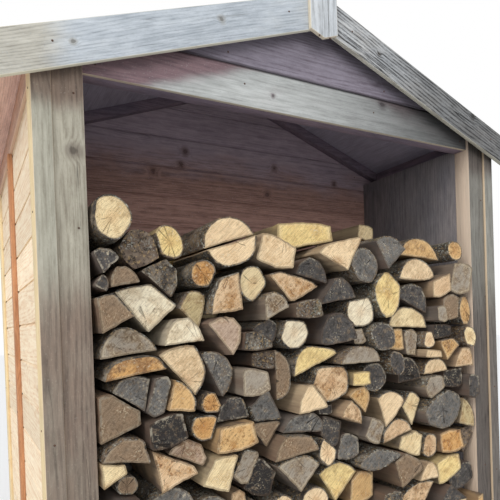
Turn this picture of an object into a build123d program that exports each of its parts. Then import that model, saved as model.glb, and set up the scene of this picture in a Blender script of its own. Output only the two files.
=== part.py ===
"""Timber log store with an apex roof: an open bay of stacked firewood in front of a closed rear half.

Origin at the middle of the footprint on the ground, +X along the front to the right, +Y from the open front to
the rear wall, +Z up. Millimetres.
"""

import os
from math import cos, radians, sin, tan

from build123d import *

# Walls
bay_width = 1428  # clear width of the open bay
post_face = 77  # width of a front post that shows beside the bay
post_depth = 64
wall_depth = 1280  # from the faces of the front posts to the outside of the rear wall
board_thick = 12  # shiplap cladding
board_cover = 116  # height of one course of cladding
wall_base = 25  # the cladding hangs down beside the bearers
partition_setback = 592  # from the faces of the front posts to the partition
partition_first = 103  # height of its lowest course, which is trimmed at the floor
lining_thick = 9
lining_rise = 14  # the lining ends this far above the lintel

# Scooped joint along the top of each course
groove_height = 9
groove_depth = 5
groove_lip = 2.5

# Corner boards and cover strips
trim_width = 46  # on the front and the rear
trim_thick = 10
trim_base = 34
side_trim_width = 74
eaves_trim_height = 74
cover_width = 45
cover_thick = 15

# Floor
bearer_size = 44
bearer_count = 4
floor_thick = 16
floor_board_count = 14
floor_board_gap = 2

# Frame
lintel_height = 1800  # underside of the opening
lintel_recess = 10  # the gable boards lie behind the faces of the posts
rail_depth = 42
rail_height = 50
rafter_size = 34
rafter_gap = 2  # between the lintel rail and the foot of a front rafter
stud_size = 44
ridge_width = 44
ridge_drop = 70

# Roof
roof_pitch = 20
roof_board = 11
felt_thick = 3
eaves_overhang = 88  # from the corner boards to the end of a bargeboard
verge_reach = 28  # the roof boards run past the front posts and the rear wall
barge_width = 101
barge_thick = 15
barge_rise = 5  # a bargeboard stands above the felt
finial_width = 102
finial_thick = 13
finial_rise = 9  # above the joint of the bargeboards

# Firewood
row_gap = 32  # between the front row and the rear row
back_gap = 18  # between the rear row and the partition
log_front = -6  # mean place of the sawn ends, from the faces of the posts
log_length = (partition_setback - log_front - row_gap - back_gap) / 2
front_uneven = 21  # how far single ends stand out or back
rear_uneven = 4
seat_gap = 0.3  # between logs that bear on each other
side_gap = 3  # between the stack and the sides of the bay
log_swell = 1.12  # logs are laid a little oversize and then bear on each other
stack_floor = 60  # height of the floor that the places of the logs were taken from
log_unit = 10  # the places and sizes of the logs are in this unit
short_edge = 1.2  # shorter edges of a log's outline are closed up
out_of_round = 0.03  # share of a stem's radius
front_steps = 5  # edges round half a stem in the front row
rear_steps = 3
settle_passes = 5
course_count = 5  # files that the front row is written to

# Worked out from the sizes above
slope = tan(radians(roof_pitch))
upright = 1 / cos(radians(roof_pitch))
bay_half = bay_width / 2
outer_half = bay_half + post_face + trim_width
eaves_reach = outer_half + eaves_overhang
trim_in = outer_half - trim_width
cladding_out = outer_half - trim_thick
cladding_in = cladding_out - board_thick
stud_in = cladding_in - stud_size
front = -wall_depth / 2
rear = wall_depth / 2
post_back = front + post_depth
gable_face = front + lintel_recess
gable_back = gable_face + board_thick
rear_cladding_in = rear - board_thick
rear_post_front = rear_cladding_in - post_depth
partition_face = front + partition_setback
partition_back = partition_face + board_thick
joint_post_back = partition_back + 2 * stud_size
roof_end = rear + verge_reach
floor_top = bearer_size + floor_thick
lining_top = lintel_height + lining_rise
upper_board_low = lintel_height + board_cover
ridge_half = ridge_width / 2
apex = lintel_height + rail_height + rafter_gap + rafter_size * upright + bay_half * slope


def under_roof(x, drop=0):
    """Height of the underside of the roof boards at x, less a thickness measured square to the slope."""
    return apex - abs(x) * slope - drop * upright


eaves_trim_low = under_roof(outer_half) - eaves_trim_height


def save(piece, name):
    """Name a finished piece and write its file."""
    piece.part.label = name
    export_step(piece.part, f"parts/{name}.step")


def block(x_low, x_high, y_low, y_high, z_low, z_high):
    """A plain squared timber between its six faces."""
    with Locations((x_low, y_low, z_low)):
        Box(x_high - x_low, y_high - y_low, z_high - z_low, align=(Align.MIN, Align.MIN, Align.MIN))


def upright_board(x_near, x_far, y_low, y_high, base):
    """A board or post that runs up to the slope of the roof, between two values of x on one side."""
    with BuildSketch(Plane.XZ.offset(-y_high)) as section:
        with BuildLine():
            Polyline(
                (x_near, base),
                (x_far, base),
                (x_far, under_roof(x_far)),
                (x_near, under_roof(x_near)),
                close=True,
            )
        make_face()
    extrude(section.sketch, amount=y_high - y_low)


def sloped_strip(side, drop_top, drop_low, x_inner, x_outer, y_low, y_high):
    """A timber that lies along one slope of the roof, cut plumb at both ends."""
    with BuildSketch(Plane.XZ.offset(-y_high)) as section:
        with BuildLine():
            Polyline(
                (side * x_inner, under_roof(x_inner, drop_top)),
                (side * x_outer, under_roof(x_outer, drop_top)),
                (side * x_outer, under_roof(x_outer, drop_low)),
                (side * x_inner, under_roof(x_inner, drop_low)),
                close=True,
            )
        make_face()
    extrude(section.sketch, amount=y_high - y_low)


def scoop(joint, face, outward):
    """Corners (across, up) of the scoop along the top of one course."""
    return [
        (face, joint - groove_height),
        (face - outward * groove_depth, joint - groove_lip),
        (face - outward * groove_depth, joint),
    ]


def clad_profile(low, high, face, back, outward, first=board_cover):
    """Corners (across, up) of a run of shiplap, with a scooped joint at the top of each course."""
    points = [(back, low), (face, low)]
    joint = low + first
    while joint < high - groove_height:
        points += scoop(joint, face, outward) + [(face, joint)]
        joint += board_cover
    return points + [(face, high), (back, high)]


def gable_panel(name, profile, half_width):
    """A board or a run of cladding across the store, from its profile, cut to the slopes of the roof."""
    face, back = max(across for across, up in profile), min(across for across, up in profile)
    cut_base = min(min(up for across, up in profile), under_roof(half_width)) - board_thick
    with BuildPart() as panel:
        with BuildSketch(Plane.YZ.offset(-half_width)):
            with BuildLine():
                Polyline(*profile, close=True)
            make_face()
        extrude(amount=2 * half_width)
        with BuildSketch(Plane.XZ.offset(-face)):
            with BuildLine():
                Polyline(
                    (-half_width, cut_base),
                    (half_width, cut_base),
                    (half_width, under_roof(half_width)),
                    (0, apex),
                    (-half_width, under_roof(half_width)),
                    close=True,
                )
            make_face()
        extrude(amount=face - back, mode=Mode.INTERSECT)
    save(panel, name)


os.makedirs("parts", exist_ok=True)

# Floor
bearer_pitch = (rear_cladding_in - front - bearer_size) / (bearer_count - 1)
floor_middle = (front + rear_cladding_in) / 2
on_ground = (Align.CENTER, Align.CENTER, Align.MIN)

with BuildPart() as floor_bearers:
    with Locations((0, floor_middle, 0)):
        with GridLocations(0, bearer_pitch, 1, bearer_count):
            Box(2 * cladding_in, bearer_size, bearer_size, align=on_ground)
save(floor_bearers, "floor_bearers")

floor_pitch = (2 * cladding_in + floor_board_gap) / floor_board_count
with BuildPart() as floor_boards:
    with Locations((0, floor_middle, bearer_size)):
        with GridLocations(floor_pitch, 0, floor_board_count, 1):
            Box(floor_pitch - floor_board_gap, rear_cladding_in - front, floor_thick, align=on_ground)
save(floor_boards, "floor_boards")

# Posts
for side, name in ((-1, "front_post_left"), (1, "front_post_right")):
    with BuildPart() as front_post:
        upright_board(side * bay_half, side * cladding_in, front, post_back, floor_top)
    save(front_post, name)

with BuildPart() as joint_posts:
    for side in (-1, 1):
        upright_board(side * stud_in, side * cladding_in, partition_back, joint_post_back, floor_top)
save(joint_posts, "joint_posts")

with BuildPart() as rear_posts:
    for side in (-1, 1):
        upright_board(side * stud_in, side * cladding_in, rear_post_front, rear_cladding_in, floor_top)
save(rear_posts, "rear_posts")

# Rails, rafters and ridge
with BuildPart() as eaves_rails:
    for side in (-1, 1):
        for y_low, y_high in ((post_back, partition_face), (joint_post_back, rear_post_front)):
            upright_board(side * stud_in, side * cladding_in, y_low, y_high, eaves_trim_low)
save(eaves_rails, "eaves_rails")

with BuildPart() as lintel_rail:
    block(-bay_half, bay_half, gable_back, gable_back + rail_depth, lintel_height, lintel_height + rail_height)
save(lintel_rail, "lintel_rail")

for name, y_low, y_high, reach in (
    ("front_rafters", gable_back, gable_back + rail_depth, bay_half),
    ("partition_rafters", partition_face - rafter_size, partition_face, stud_in),
    ("rear_rafters", rear_cladding_in - rafter_size, rear_cladding_in, stud_in),
):
    with BuildPart() as rafters:
        for side in (-1, 1):
            sloped_strip(side, 0, rafter_size, ridge_half, reach, y_low, y_high)
    save(rafters, name)

with BuildPart() as ridge_beam:
    for y_low, y_high in ((gable_back, partition_face), (partition_back, rear_cladding_in)):
        with BuildSketch(Plane.XZ.offset(-y_high)):
            with BuildLine():
                Polyline(
                    (-ridge_half, apex - ridge_drop),
                    (ridge_half, apex - ridge_drop),
                    (ridge_half, under_roof(ridge_half)),
                    (0, apex),
                    (-ridge_half, under_roof(ridge_half)),
                    close=True,
                )
            make_face()
        extrude(amount=y_high - y_low)
save(ridge_beam, "ridge_beam")

# Cladding
for hand, side in (("left", -1), ("right", 1)):
    profile = clad_profile(wall_base, under_roof(cladding_out), side * cladding_out, side * cladding_in, side)
    for half, y_low, y_high in (("front", front, 0), ("rear", 0, rear_cladding_in)):
        with BuildPart() as wall_panel:
            with BuildSketch(Plane.XZ.offset(-y_high)):
                with BuildLine():
                    Polyline(*profile, close=True)
                make_face()
            extrude(amount=y_high - y_low)
        save(wall_panel, f"{hand}_wall_{half}")

rear_cladding = clad_profile(wall_base, apex, rear, rear_cladding_in, 1)
gable_panel("rear_wall", rear_cladding, cladding_out)
partition = clad_profile(floor_top, apex, partition_face, partition_back, -1, partition_first)
gable_panel("partition_wall", partition, cladding_in)

# The gable over the bay is one wide board above one course of shiplap
lower_board = [(gable_back, lintel_height), (gable_face, lintel_height)]
lower_board += scoop(upper_board_low, gable_face, -1) + [(gable_back, upper_board_low)]
upper_board = [(gable_back, upper_board_low), (gable_face, upper_board_low), (gable_face, apex), (gable_back, apex)]
gable_panel("gable_board_lower", lower_board, bay_half)
gable_panel("gable_board_upper", upper_board, bay_half)

# Lining of the bay
for side, name in ((-1, "lining_left"), (1, "lining_right")):
    x_low = min(side * bay_half, side * (bay_half + lining_thick))
    with BuildPart() as lining:
        block(x_low, x_low + lining_thick, post_back, partition_face, floor_top, lining_top)
    save(lining, name)

# Corner boards and cover strips
for name, y_low in (("front_trims", front - trim_thick), ("rear_trims", rear)):
    with BuildPart() as end_trims:
        for side in (-1, 1):
            upright_board(side * trim_in, side * outer_half, y_low, y_low + trim_thick, trim_base)
    save(end_trims, name)

with BuildPart() as side_trims:
    for side in (-1, 1):
        for y_low in (front, rear - side_trim_width):
            upright_board(side * cladding_out, side * outer_half, y_low, y_low + side_trim_width, trim_base)
save(side_trims, "side_trims")

with BuildPart() as eaves_trims:
    for side in (-1, 1):
        y_low = front + side_trim_width
        y_high = rear - side_trim_width
        upright_board(side * cladding_out, side * outer_half, y_low, y_high, eaves_trim_low)
save(eaves_trims, "eaves_trims")

with BuildPart() as joint_covers:
    for side in (-1, 1):
        x_low = min(side * cladding_out, side * (cladding_out + cover_thick))
        block(x_low, x_low + cover_thick, -cover_width / 2, cover_width / 2, wall_base, eaves_trim_low)
save(joint_covers, "joint_covers")

# Roof
for side, name in ((-1, "roof_boards_left"), (1, "roof_boards_right")):
    with BuildPart() as roof_boards:
        sloped_strip(side, -roof_board, 0, 0, eaves_reach, -roof_end, roof_end)
    save(roof_boards, name)

felt_drop = -roof_board - felt_thick
with BuildPart() as roof_felt:
    for side in (-1, 1):
        sloped_strip(side, felt_drop, -roof_board, 0, eaves_reach, -roof_end, roof_end)
save(roof_felt, "roof_felt")

barge_top = felt_drop - barge_rise
barge_low = barge_top + barge_width
for end, y_low in (("front", -roof_end - barge_thick), ("rear", roof_end)):
    for side, hand in ((-1, "left"), (1, "right")):
        with BuildPart() as bargeboard:
            sloped_strip(side, barge_top, barge_low, 0, eaves_reach, y_low, y_low + barge_thick)
        save(bargeboard, f"bargeboard_{end}_{hand}")

finial_half = finial_width / 2
finial_point = finial_half * slope
finial_low = under_roof(finial_half, barge_low) - finial_point
finial_high = under_roof(0, barge_top) + finial_rise
with BuildPart() as finials:
    for y_high in (-roof_end - barge_thick, roof_end + barge_thick + finial_thick):
        with BuildSketch(Plane.XZ.offset(-y_high)):
            with BuildLine():
                Polyline(
                    (0, finial_low),
                    (finial_half, finial_low + finial_point),
                    (finial_half, finial_high - finial_point),
                    (0, finial_high),
                    (-finial_half, finial_high - finial_point),
                    (-finial_half, finial_low + finial_point),
                    close=True,
                )
            make_face()
        extrude(amount=finial_thick)
save(finials, "finials")

# Firewood as it is stacked in the front row, from the top down. Each log has its kind, then its place from the
# left side of the bay and above the ground, its width and height, its turn in degrees, and, where it stands back
# from the rest, how far. A round is a whole stem, a half and a quarter are split from one, a block is split again.
front_stack = (
    ("round", 5.4, 143.8, 10.3, 11.5, 20),
    ("round", 13.4, 136.6, 10.2, 11.2, 30),
    ("round", 21.9, 139.1, 8.0, 9.8, 20),
    ("half", 38.6, 144.0, 15.8, 7.6, 17),
    ("half", 39.8, 136.3, 15.0, 7.6, 197),
    ("block", 54.7, 137.8, 12.6, 9.6, -12),
    ("block", 70.0, 144.2, 20.5, 9.4, 2, 6),
    ("quarter", 79.7, 138.5, 17.5, 11.8, 18),
    ("round", 90.0, 135.0, 11.8, 12.2, 0),
    ("quarter", 100.0, 140.2, 12.0, 11.2, -12, 1),
    ("half", 117.5, 142.5, 19.5, 7.2, -3, 1),
    ("round", 133.8, 142.1, 8.0, 7.6, 0),
    ("half", 115.0, 134.2, 20.5, 8.4, -3),
    ("quarter", 3.3, 133.3, 6.8, 6.2, -10),
    ("half", 7.8, 129.3, 8.0, 5.4, 10),
    ("quarter", 2.0, 127.5, 4.4, 4.0, -80),
    ("half", 19.5, 130.0, 11.8, 8.4, -42),
    ("round", 29.9, 130.4, 7.8, 7.8, 0),
    ("quarter", 37.8, 125.6, 15.0, 11.2, 53),
    ("round", 47.2, 128.6, 9.4, 10.6, 10),
    ("quarter", 61.2, 127.3, 18.2, 9.6, -10),
    ("half", 69.0, 133.0, 13.5, 7.8, -12),
    ("half", 78.2, 126.3, 15.5, 9.0, 8),
    ("round", 98.8, 125.0, 13.0, 15.2, 4),
    ("round", 88.0, 119.6, 11.6, 11.2, 0),
    ("half", 113.5, 125.5, 14.5, 8.4, -25),
    ("block", 125.5, 129.0, 8.5, 10.0, 10),
    ("block", 136.5, 131.0, 10.0, 12.0, -8),
    ("block", 130.5, 120.5, 7.8, 9.6, 0),
    ("block", 124.0, 117.8, 6.0, 6.2, 0),
    ("round", 138.8, 118.7, 7.4, 10.8, 0),
    ("round", 139.2, 109.1, 6.6, 8.4, 0),
    ("half", 110.5, 117.5, 18.8, 8.2, -3),
    ("block", 125.5, 111.2, 9.2, 5.8, -3),
    ("quarter", 14.6, 120.8, 18.8, 13.3, -6),
    ("quarter", 4.2, 119.7, 10.0, 10.4, -28),
    ("half", 23.8, 114.7, 11.2, 7.4, 4),
    ("quarter", 28.3, 120.2, 9.2, 11.2, 14),
    ("half", 37.2, 114.3, 11.8, 8.0, -50),
    ("block", 46.2, 111.8, 9.5, 6.0, 0),
    ("block", 50.5, 105.5, 9.0, 6.0, 0),
    ("quarter", 52.5, 120.8, 9.5, 10.0, -30),
    ("round", 51.2, 114.3, 8.8, 7.6, 0),
    ("round", 60.5, 113.3, 10.6, 10.0, 0),
    ("block", 65.0, 120.5, 10.0, 7.0, 5),
    ("half", 76.5, 114.5, 14.0, 9.6, 10),
    ("round", 95.0, 111.0, 10.5, 9.6, 0),
    ("block", 86.8, 111.2, 6.4, 6.0, 20),
    ("block", 104.5, 110.2, 9.5, 8.4, 0),
    ("round", 111.2, 107.8, 9.2, 9.6, 0),
    ("round", 118.0, 108.5, 7.0, 6.6, 0),
    ("quarter", 128.5, 105.2, 10.0, 8.5, -10),
    ("block", 119.0, 103.5, 10.0, 3.6, -8),
    ("half", 122.5, 99.0, 13.0, 6.6, 0),
    ("half", 137.2, 101.5, 10.0, 8.0, 0),
    ("block", 132.5, 94.0, 9.5, 8.0, 0),
    ("block", 139.5, 92.5, 6.0, 9.0, 0),
    ("half", 8.8, 112.6, 15.0, 8.4, 6),
    ("half", 9.8, 106.6, 15.8, 6.2, 8),
    ("half", 25.8, 105.8, 15.7, 9.4, -48),
    ("half", 35.2, 103.0, 14.5, 9.2, -64),
    ("block", 45.0, 100.0, 9.0, 9.0, 4),
    ("half", 56.7, 100.8, 15.5, 7.8, -94),
    ("half", 67.2, 106.2, 18.0, 7.2, 20),
    ("half", 85.0, 105.5, 18.0, 8.0, -2),
    ("round", 93.5, 97.8, 10.0, 10.0, 0),
    ("block", 84.8, 97.8, 8.4, 5.0, 0),
    ("round", 101.2, 102.2, 6.4, 8.4, 0),
    ("quarter", 109.0, 97.5, 12.0, 10.5, -45),
    ("round", 120.0, 91.8, 10.0, 9.2, 0),
    ("quarter", 4.6, 92.5, 14.0, 13.0, -34),
    ("quarter", 10.0, 98.0, 11.0, 11.5, 22),
    ("block", 16.5, 97.5, 5.5, 11.0, -14),
    ("quarter", 21.5, 96.2, 10.0, 9.0, -60),
    ("block", 17.8, 88.5, 10.8, 9.0, 8),
    ("round", 29.8, 88.4, 8.4, 8.0, 0),
    ("round", 31.8, 94.8, 6.2, 6.6, 0),
    ("half", 40.0, 92.2, 11.8, 7.2, 2),
    ("quarter", 51.2, 92.5, 13.5, 12.5, 165),
    ("half", 65.0, 93.0, 11.2, 9.5, 2),
    ("round", 73.5, 97.5, 13.2, 12.8, 0),
    ("half", 85.5, 91.5, 10.8, 7.6, -40),
    ("half", 80.3, 86.8, 10.0, 8.8, -20),
    ("block", 72.5, 88.5, 5.6, 4.0, 0),
    ("half", 63.0, 85.5, 15.0, 7.6, -4),
    ("round", 74.5, 82.0, 11.0, 11.0, 0),
    ("quarter", 100.0, 86.8, 12.5, 13.0, -15),
    ("quarter", 110.3, 86.5, 9.5, 12.0, 8),
    ("round", 124.8, 82.8, 19.5, 14.2, 0),
    ("quarter", 137.2, 80.8, 12.5, 10.5, -65),
    ("quarter", 3.0, 79.2, 7.5, 8.0, -30),
    ("quarter", 18.0, 77.0, 15.0, 12.5, -30),
    ("half", 8.2, 84.2, 14.5, 7.8, -8),
    ("round", 7.6, 75.1, 5.8, 5.8, 0),
    ("half", 24.8, 80.8, 12.0, 8.0, -25),
    ("block", 38.8, 84.5, 13.5, 8.4, 6),
    ("quarter", 50.2, 84.2, 10.5, 8.8, 0),
    ("half", 58.3, 79.8, 16.2, 7.6, 5),
    ("round", 70.2, 76.0, 6.8, 9.0, 0),
    ("block", 81.5, 76.5, 8.0, 9.0, 0),
    ("block", 89.3, 81.2, 8.2, 8.8, -25),
    ("round", 92.0, 71.2, 16.2, 8.2, 4),
    ("half", 103.0, 79.5, 15.0, 8.0, 12),
    ("block", 109.5, 73.8, 10.5, 9.2, -15),
    ("round", 117.8, 72.2, 8.2, 9.2, 0),
    ("block", 127.8, 70.5, 12.0, 8.6, 4),
    ("quarter", 138.5, 69.2, 9.0, 10.0, 0),
    ("quarter", 33.0, 74.5, 14.0, 10.5, 24),
    ("block", 42.5, 75.2, 7.5, 10.0, -30),
    ("block", 47.6, 70.8, 9.5, 12.0, -20),
    ("quarter", 59.2, 70.2, 17.0, 12.2, -2),
    ("quarter", 76.2, 65.5, 15.0, 13.0, -8),
    ("block", 86.8, 62.5, 10.5, 11.5, 0),
    ("quarter", 103.5, 66.0, 15.0, 12.0, -23),
    ("half", 115.0, 64.0, 9.0, 6.6, 0),
    ("block", 126.2, 60.8, 11.5, 10.5, 14),
    ("block", 135.0, 56.0, 13.0, 9.5, 14),
    ("quarter", 110.5, 54.5, 16.0, 11.0, 20),
    ("block", 96.8, 56.0, 8.0, 9.0, 0),
    ("round", 19.0, 67.2, 12.5, 11.0, 0),
    ("round", 30.5, 64.0, 12.0, 11.0, 0),
    ("block", 39.5, 66.0, 5.6, 5.6, 0),
    ("round", 44.0, 61.0, 8.0, 8.0, 0),
    ("round", 54.5, 60.0, 9.0, 8.5, 0),
    ("round", 66.5, 60.0, 10.5, 9.0, 0),
    ("half", 7.0, 68.8, 13.0, 8.6, -8),
)

stack_span = max(x + across / 2 for kind, x, z, across, *_ in front_stack)

# Two more lie on top of the rear row
rear_top = (
    ("half", 117.0, 147.0, 16.0, 7.6, 4),
    ("block", 118.0, 154.0, 8.6, 6.4, -5),
)

# The courses below those repeat a few kinds and sizes
lower_kinds = (
    ("half", 12.8, 7.4, 0),
    ("round", 9.6, 9.4, 0),
    ("quarter", 13.0, 9.8, 12),
    ("block", 11.0, 8.4, -8),
    ("half", 13.6, 7.8, 172),
    ("quarter", 12.4, 9.6, 186),
    ("round", 8.8, 8.8, 0),
    ("block", 12.0, 8.0, 96),
)
lower_rows = 8
lower_first = 10.2  # height of the middle of the lowest course
lower_pitch = 8.3
lower_clear = 7.4  # a log is laid here only where no listed log lies nearer than this
lower_ends = 4  # width at the right side that stays free
lower_stagger = 2
size_change = 0.12
turn_change = 5

# Block split on all sides, as shares of its width and height
block_corners = ((-0.5, -0.38), (0.05, -0.5), (0.5, -0.34), (0.46, 0.36), (0.1, 0.5), (-0.46, 0.4))


def chance(number, rate):
    """A value from -1 to 1 that varies from number to number and stays the same from build to build."""
    return sin(rate * number)


def bark(across, up, start, end, steps, lump):
    """Points round a stem, from one angle to another in degrees, a little out of round."""
    for step in range(steps + 1):
        angle = radians(start + (end - start) * step / steps)
        reach = 1 + lump * sin(2 * angle + lump / out_of_round)
        yield (across / 2 * reach * cos(angle), up / 2 * reach * sin(angle))


def log_section(kind, across, up, steps, lump):
    """Outline of one log from its end, round its middle: bark is curved and split faces are flat."""
    if kind == "round":
        return list(bark(across, up, 0, 360 - 180 / steps, 2 * steps - 1, lump))
    if kind == "half":
        return [(px, 2 * pz - up / 2) for px, pz in bark(across, up, 0, 180, steps, 0)]
    if kind == "quarter":
        angles = [radians(45 - 90 * step / (steps - 1)) for step in range(steps)]
        reach = across / 2 / sin(radians(45))
        return [(0, -up / 2)] + [(reach * sin(angle), up * cos(angle) - up / 2) for angle in angles]
    return [(px * across, pz * up) for px, pz in block_corners]


def lay(kind, x, z, across, up, turn, steps):
    """A log's outline at its place in the bay."""
    c = cos(radians(turn))
    s = sin(radians(turn))
    lump = out_of_round * chance(x + 2 * z, 1)
    outline = []
    for px, pz in log_section(kind, across * log_swell, up * log_swell, steps, lump):
        place_x = (x / stack_span - 0.5) * bay_width + (px * c - pz * s) * log_unit
        place_z = (z + px * s + pz * c) * log_unit - stack_floor + floor_top
        outline.append((place_x, place_z))
    return outline


def cut(outline, nx, nz, limit):
    """The part of a convex outline on the near side of a straight line."""
    kept = []
    for (ax, az), (bx, bz) in zip(outline, outline[1:] + outline[:1]):
        a = ax * nx + az * nz - limit
        b = bx * nx + bz * nz - limit
        if a <= 0:
            kept.append((ax, az))
        if a * b < 0:
            share = a / (a - b)
            kept.append((ax + (bx - ax) * share, az + (bz - az) * share))
    return kept


def faces_of(outline):
    """Direction square to each edge of an outline."""
    for (ax, az), (bx, bz) in zip(outline, outline[1:] + outline[:1]):
        length = ((bx - ax) ** 2 + (bz - az) ** 2) ** 0.5
        if length > 0:
            yield ((bz - az) / length, (ax - bx) / length)


def overlap(first, second):
    """Direction in which two outlines overlap least, and the middle of that overlap, or None if they are clear."""
    least = None
    for nx, nz in list(faces_of(first)) + [(-fx, -fz) for fx, fz in faces_of(second)]:
        far = max(px * nx + pz * nz for px, pz in first)
        near = min(px * nx + pz * nz for px, pz in second)
        if far <= near:
            return None
        if least is None or far - near < least[0]:
            least = (far - near, nx, nz, (far + near) / 2)
    return least[1:]


def close_up(outline):
    """The outline without corners that lie very near the one before."""
    kept = []
    for px, pz in outline:
        if not kept or ((px - kept[-1][0]) ** 2 + (pz - kept[-1][1]) ** 2) ** 0.5 > short_edge:
            kept.append((px, pz))
    return kept


def bear(outlines):
    """Let the logs bear on each other, on the floor and on the sides: what overlaps is parted by the seat gap."""
    for index, outline in enumerate(outlines):
        outline = cut(outline, 0, -1, -floor_top - seat_gap)
        for side in (-1, 1):
            outline = cut(outline, side, 0, bay_half - side_gap)
        outlines[index] = outline
    for index, outline in enumerate(outlines):
        for other in range(index):
            if not outlines[other] or not outlines[index]:
                continue
            parting = overlap(outlines[index], outlines[other])
            if parting:
                nx, nz, middle = parting
                outlines[index] = cut(outlines[index], nx, nz, middle - seat_gap / 2)
                outlines[other] = cut(outlines[other], -nx, -nz, -middle - seat_gap / 2)
    return [close_up(outline) for outline in outlines]


def clearance(upper, lower):
    """Height of open air from one outline down to another, or None where the other doesn't lie below it."""
    least = None
    for points, edges, sign in ((upper, lower, 1), (lower, upper, -1)):
        for px, pz in points:
            for (ax, az), (bx, bz) in zip(edges, edges[1:] + edges[:1]):
                if min(ax, bx) <= px < max(ax, bx):
                    gap = sign * (pz - az - (bz - az) * (px - ax) / (bx - ax))
                    if gap < 0:
                        return None
                    least = gap if least is None else min(least, gap)
    return least


def settle(outlines):
    """Let each log down until it lies on the floor or on a log below it."""
    for index in settle_passes * list(range(len(outlines))):
        outline = outlines[index]
        if not outline:
            continue
        gaps = [clearance(outline, other) for other in outlines if other and other is not outline]
        gaps = [gap for gap in gaps if gap is not None]
        drop = min([*gaps, min(pz for px, pz in outline) - floor_top]) - seat_gap
        outlines[index] = [(px, pz - drop) for px, pz in outline]
    return outlines


def lower_courses():
    """Places of the logs below the listed ones, course by course."""
    count = 0
    for row in range(lower_rows):
        x = lower_stagger * (chance(row, 5) + 0.5)
        z = lower_first + row * lower_pitch
        while x < stack_span - lower_ends:
            pick = int(97 * abs(chance(count, 1.7))) % len(lower_kinds)
            kind, across, up, turn = lower_kinds[pick]
            across *= 1 + size_change * chance(count, 3)
            middle = x + across / 2
            if all((middle - lx) ** 2 + (z - lz) ** 2 > lower_clear**2 for kind_, lx, lz, *_ in front_stack):
                yield (kind, middle, z, across, up, turn + turn_change * chance(count, 7))
            x += across
            count += 1


def write_logs(logs, name, y_front, uneven):
    """Write logs as separate solids in one file, their ends a little out of line."""
    solids = []
    for outline, back, number in logs:
        shift = uneven * chance(number, 2.3)
        start = y_front + back * log_unit + shift
        with BuildPart() as piece:
            with BuildSketch(Plane.XZ.offset(-start)):
                with BuildLine():
                    Polyline(*outline, close=True)
                make_face()
            extrude(amount=back * log_unit - log_length)
        solids += piece.solids()
    wood = Compound(solids)
    wood.label = name
    export_step(wood, f"parts/{name}.step")


def stack(places, steps):
    """Outlines of a stack from the lowest up, each with how far it stands back and its number."""
    places = sorted(places, key=lambda place: place[2])
    outlines = settle(bear([lay(*place[:6], steps) for place in places]))
    backs = [place[6] if len(place) > 6 else 0 for place in places]
    logs = zip(outlines, backs, range(len(places)))
    return [log for log in logs if len(log[0]) > 2]


places = [*front_stack, *lower_courses()]
front_row = stack(places, front_steps)
mirrored = [(kind, stack_span - x, z, a, u, -turn) for kind, x, z, a, u, turn, *_ in places]
rear_row = stack([*mirrored, *rear_top], rear_steps)

share = -(-len(front_row) // course_count)
for course in range(course_count):
    logs = front_row[course * share : (course + 1) * share]
    write_logs(logs, f"log_course_{course + 1:02d}", front + log_front, front_uneven)

rear_front = front + log_front + log_length + row_gap
half_way = len(rear_row) // 2
write_logs(rear_row[:half_way], "rear_logs_lower", rear_front, rear_uneven)
write_logs(rear_row[half_way:], "rear_logs_upper", rear_front, rear_uneven)
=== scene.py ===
# %% [markdown]
# # A timber log store with its firewood
#
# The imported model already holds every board, post and log at its real size, in metres, with +Z up and the
# open bay towards -Y. This lesson gives those pieces the look of the real ones: weathered softwood, split
# logs with bark, and the nails that hold the boards. Nothing is moved, because the model is also used for
# collision.

from math import cos, radians, sin, tan, tau

import bpy
import numpy as np
from mathutils import Matrix, Vector, noise


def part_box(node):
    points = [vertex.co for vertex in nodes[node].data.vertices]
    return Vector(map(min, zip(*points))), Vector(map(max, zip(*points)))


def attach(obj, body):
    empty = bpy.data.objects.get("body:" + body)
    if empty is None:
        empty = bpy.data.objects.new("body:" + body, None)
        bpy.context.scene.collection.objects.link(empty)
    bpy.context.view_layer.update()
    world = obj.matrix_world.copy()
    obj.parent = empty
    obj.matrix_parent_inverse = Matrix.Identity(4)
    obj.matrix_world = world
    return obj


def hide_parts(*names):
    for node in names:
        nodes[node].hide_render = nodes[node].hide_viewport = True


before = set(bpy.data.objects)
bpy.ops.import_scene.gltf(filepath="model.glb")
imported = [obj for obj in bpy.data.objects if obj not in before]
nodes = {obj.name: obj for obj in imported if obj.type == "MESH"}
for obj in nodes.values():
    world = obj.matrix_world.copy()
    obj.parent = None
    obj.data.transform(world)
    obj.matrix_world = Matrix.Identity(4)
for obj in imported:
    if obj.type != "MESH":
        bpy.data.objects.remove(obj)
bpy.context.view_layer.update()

# %% [markdown]
# ## Camera
#
# The photograph was taken by hand at chest height, close to the left front corner. A camera's place can be
# worked out from edges whose real length and direction are known: upright posts, level boards and the
# slopes of the roof. The picture is the upper part of an upright one, so its centre isn't where the lens
# points. The camera is shifted up for that, which keeps the posts upright, where tilting it would make
# them lean together.

# %% Set the camera
camera_place = Vector((-0.9946, -1.955, 1.154))
camera_right = Vector((0.87384, -0.48499, -0.03455))
camera_up = Vector((0.03664, -0.00517, 0.99931))
camera_back = camera_right.cross(camera_up)
camera_lens = 37.15
camera_shift = 0.166

bpy.ops.object.camera_add(location=camera_place)
camera = bpy.context.object
camera.name = "camera"
camera.matrix_world = Matrix.Translation(camera_place) @ Matrix(
    (camera_right, camera_up, camera_back)
).transposed().to_4x4()
camera.data.lens = camera_lens
camera.data.sensor_width = 36
camera.data.shift_y = camera_shift
camera.data.clip_start = 0.02
bpy.context.scene.camera = camera
print("camera is", round(camera_place.length, 2), "m from the middle of the floor")

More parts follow.
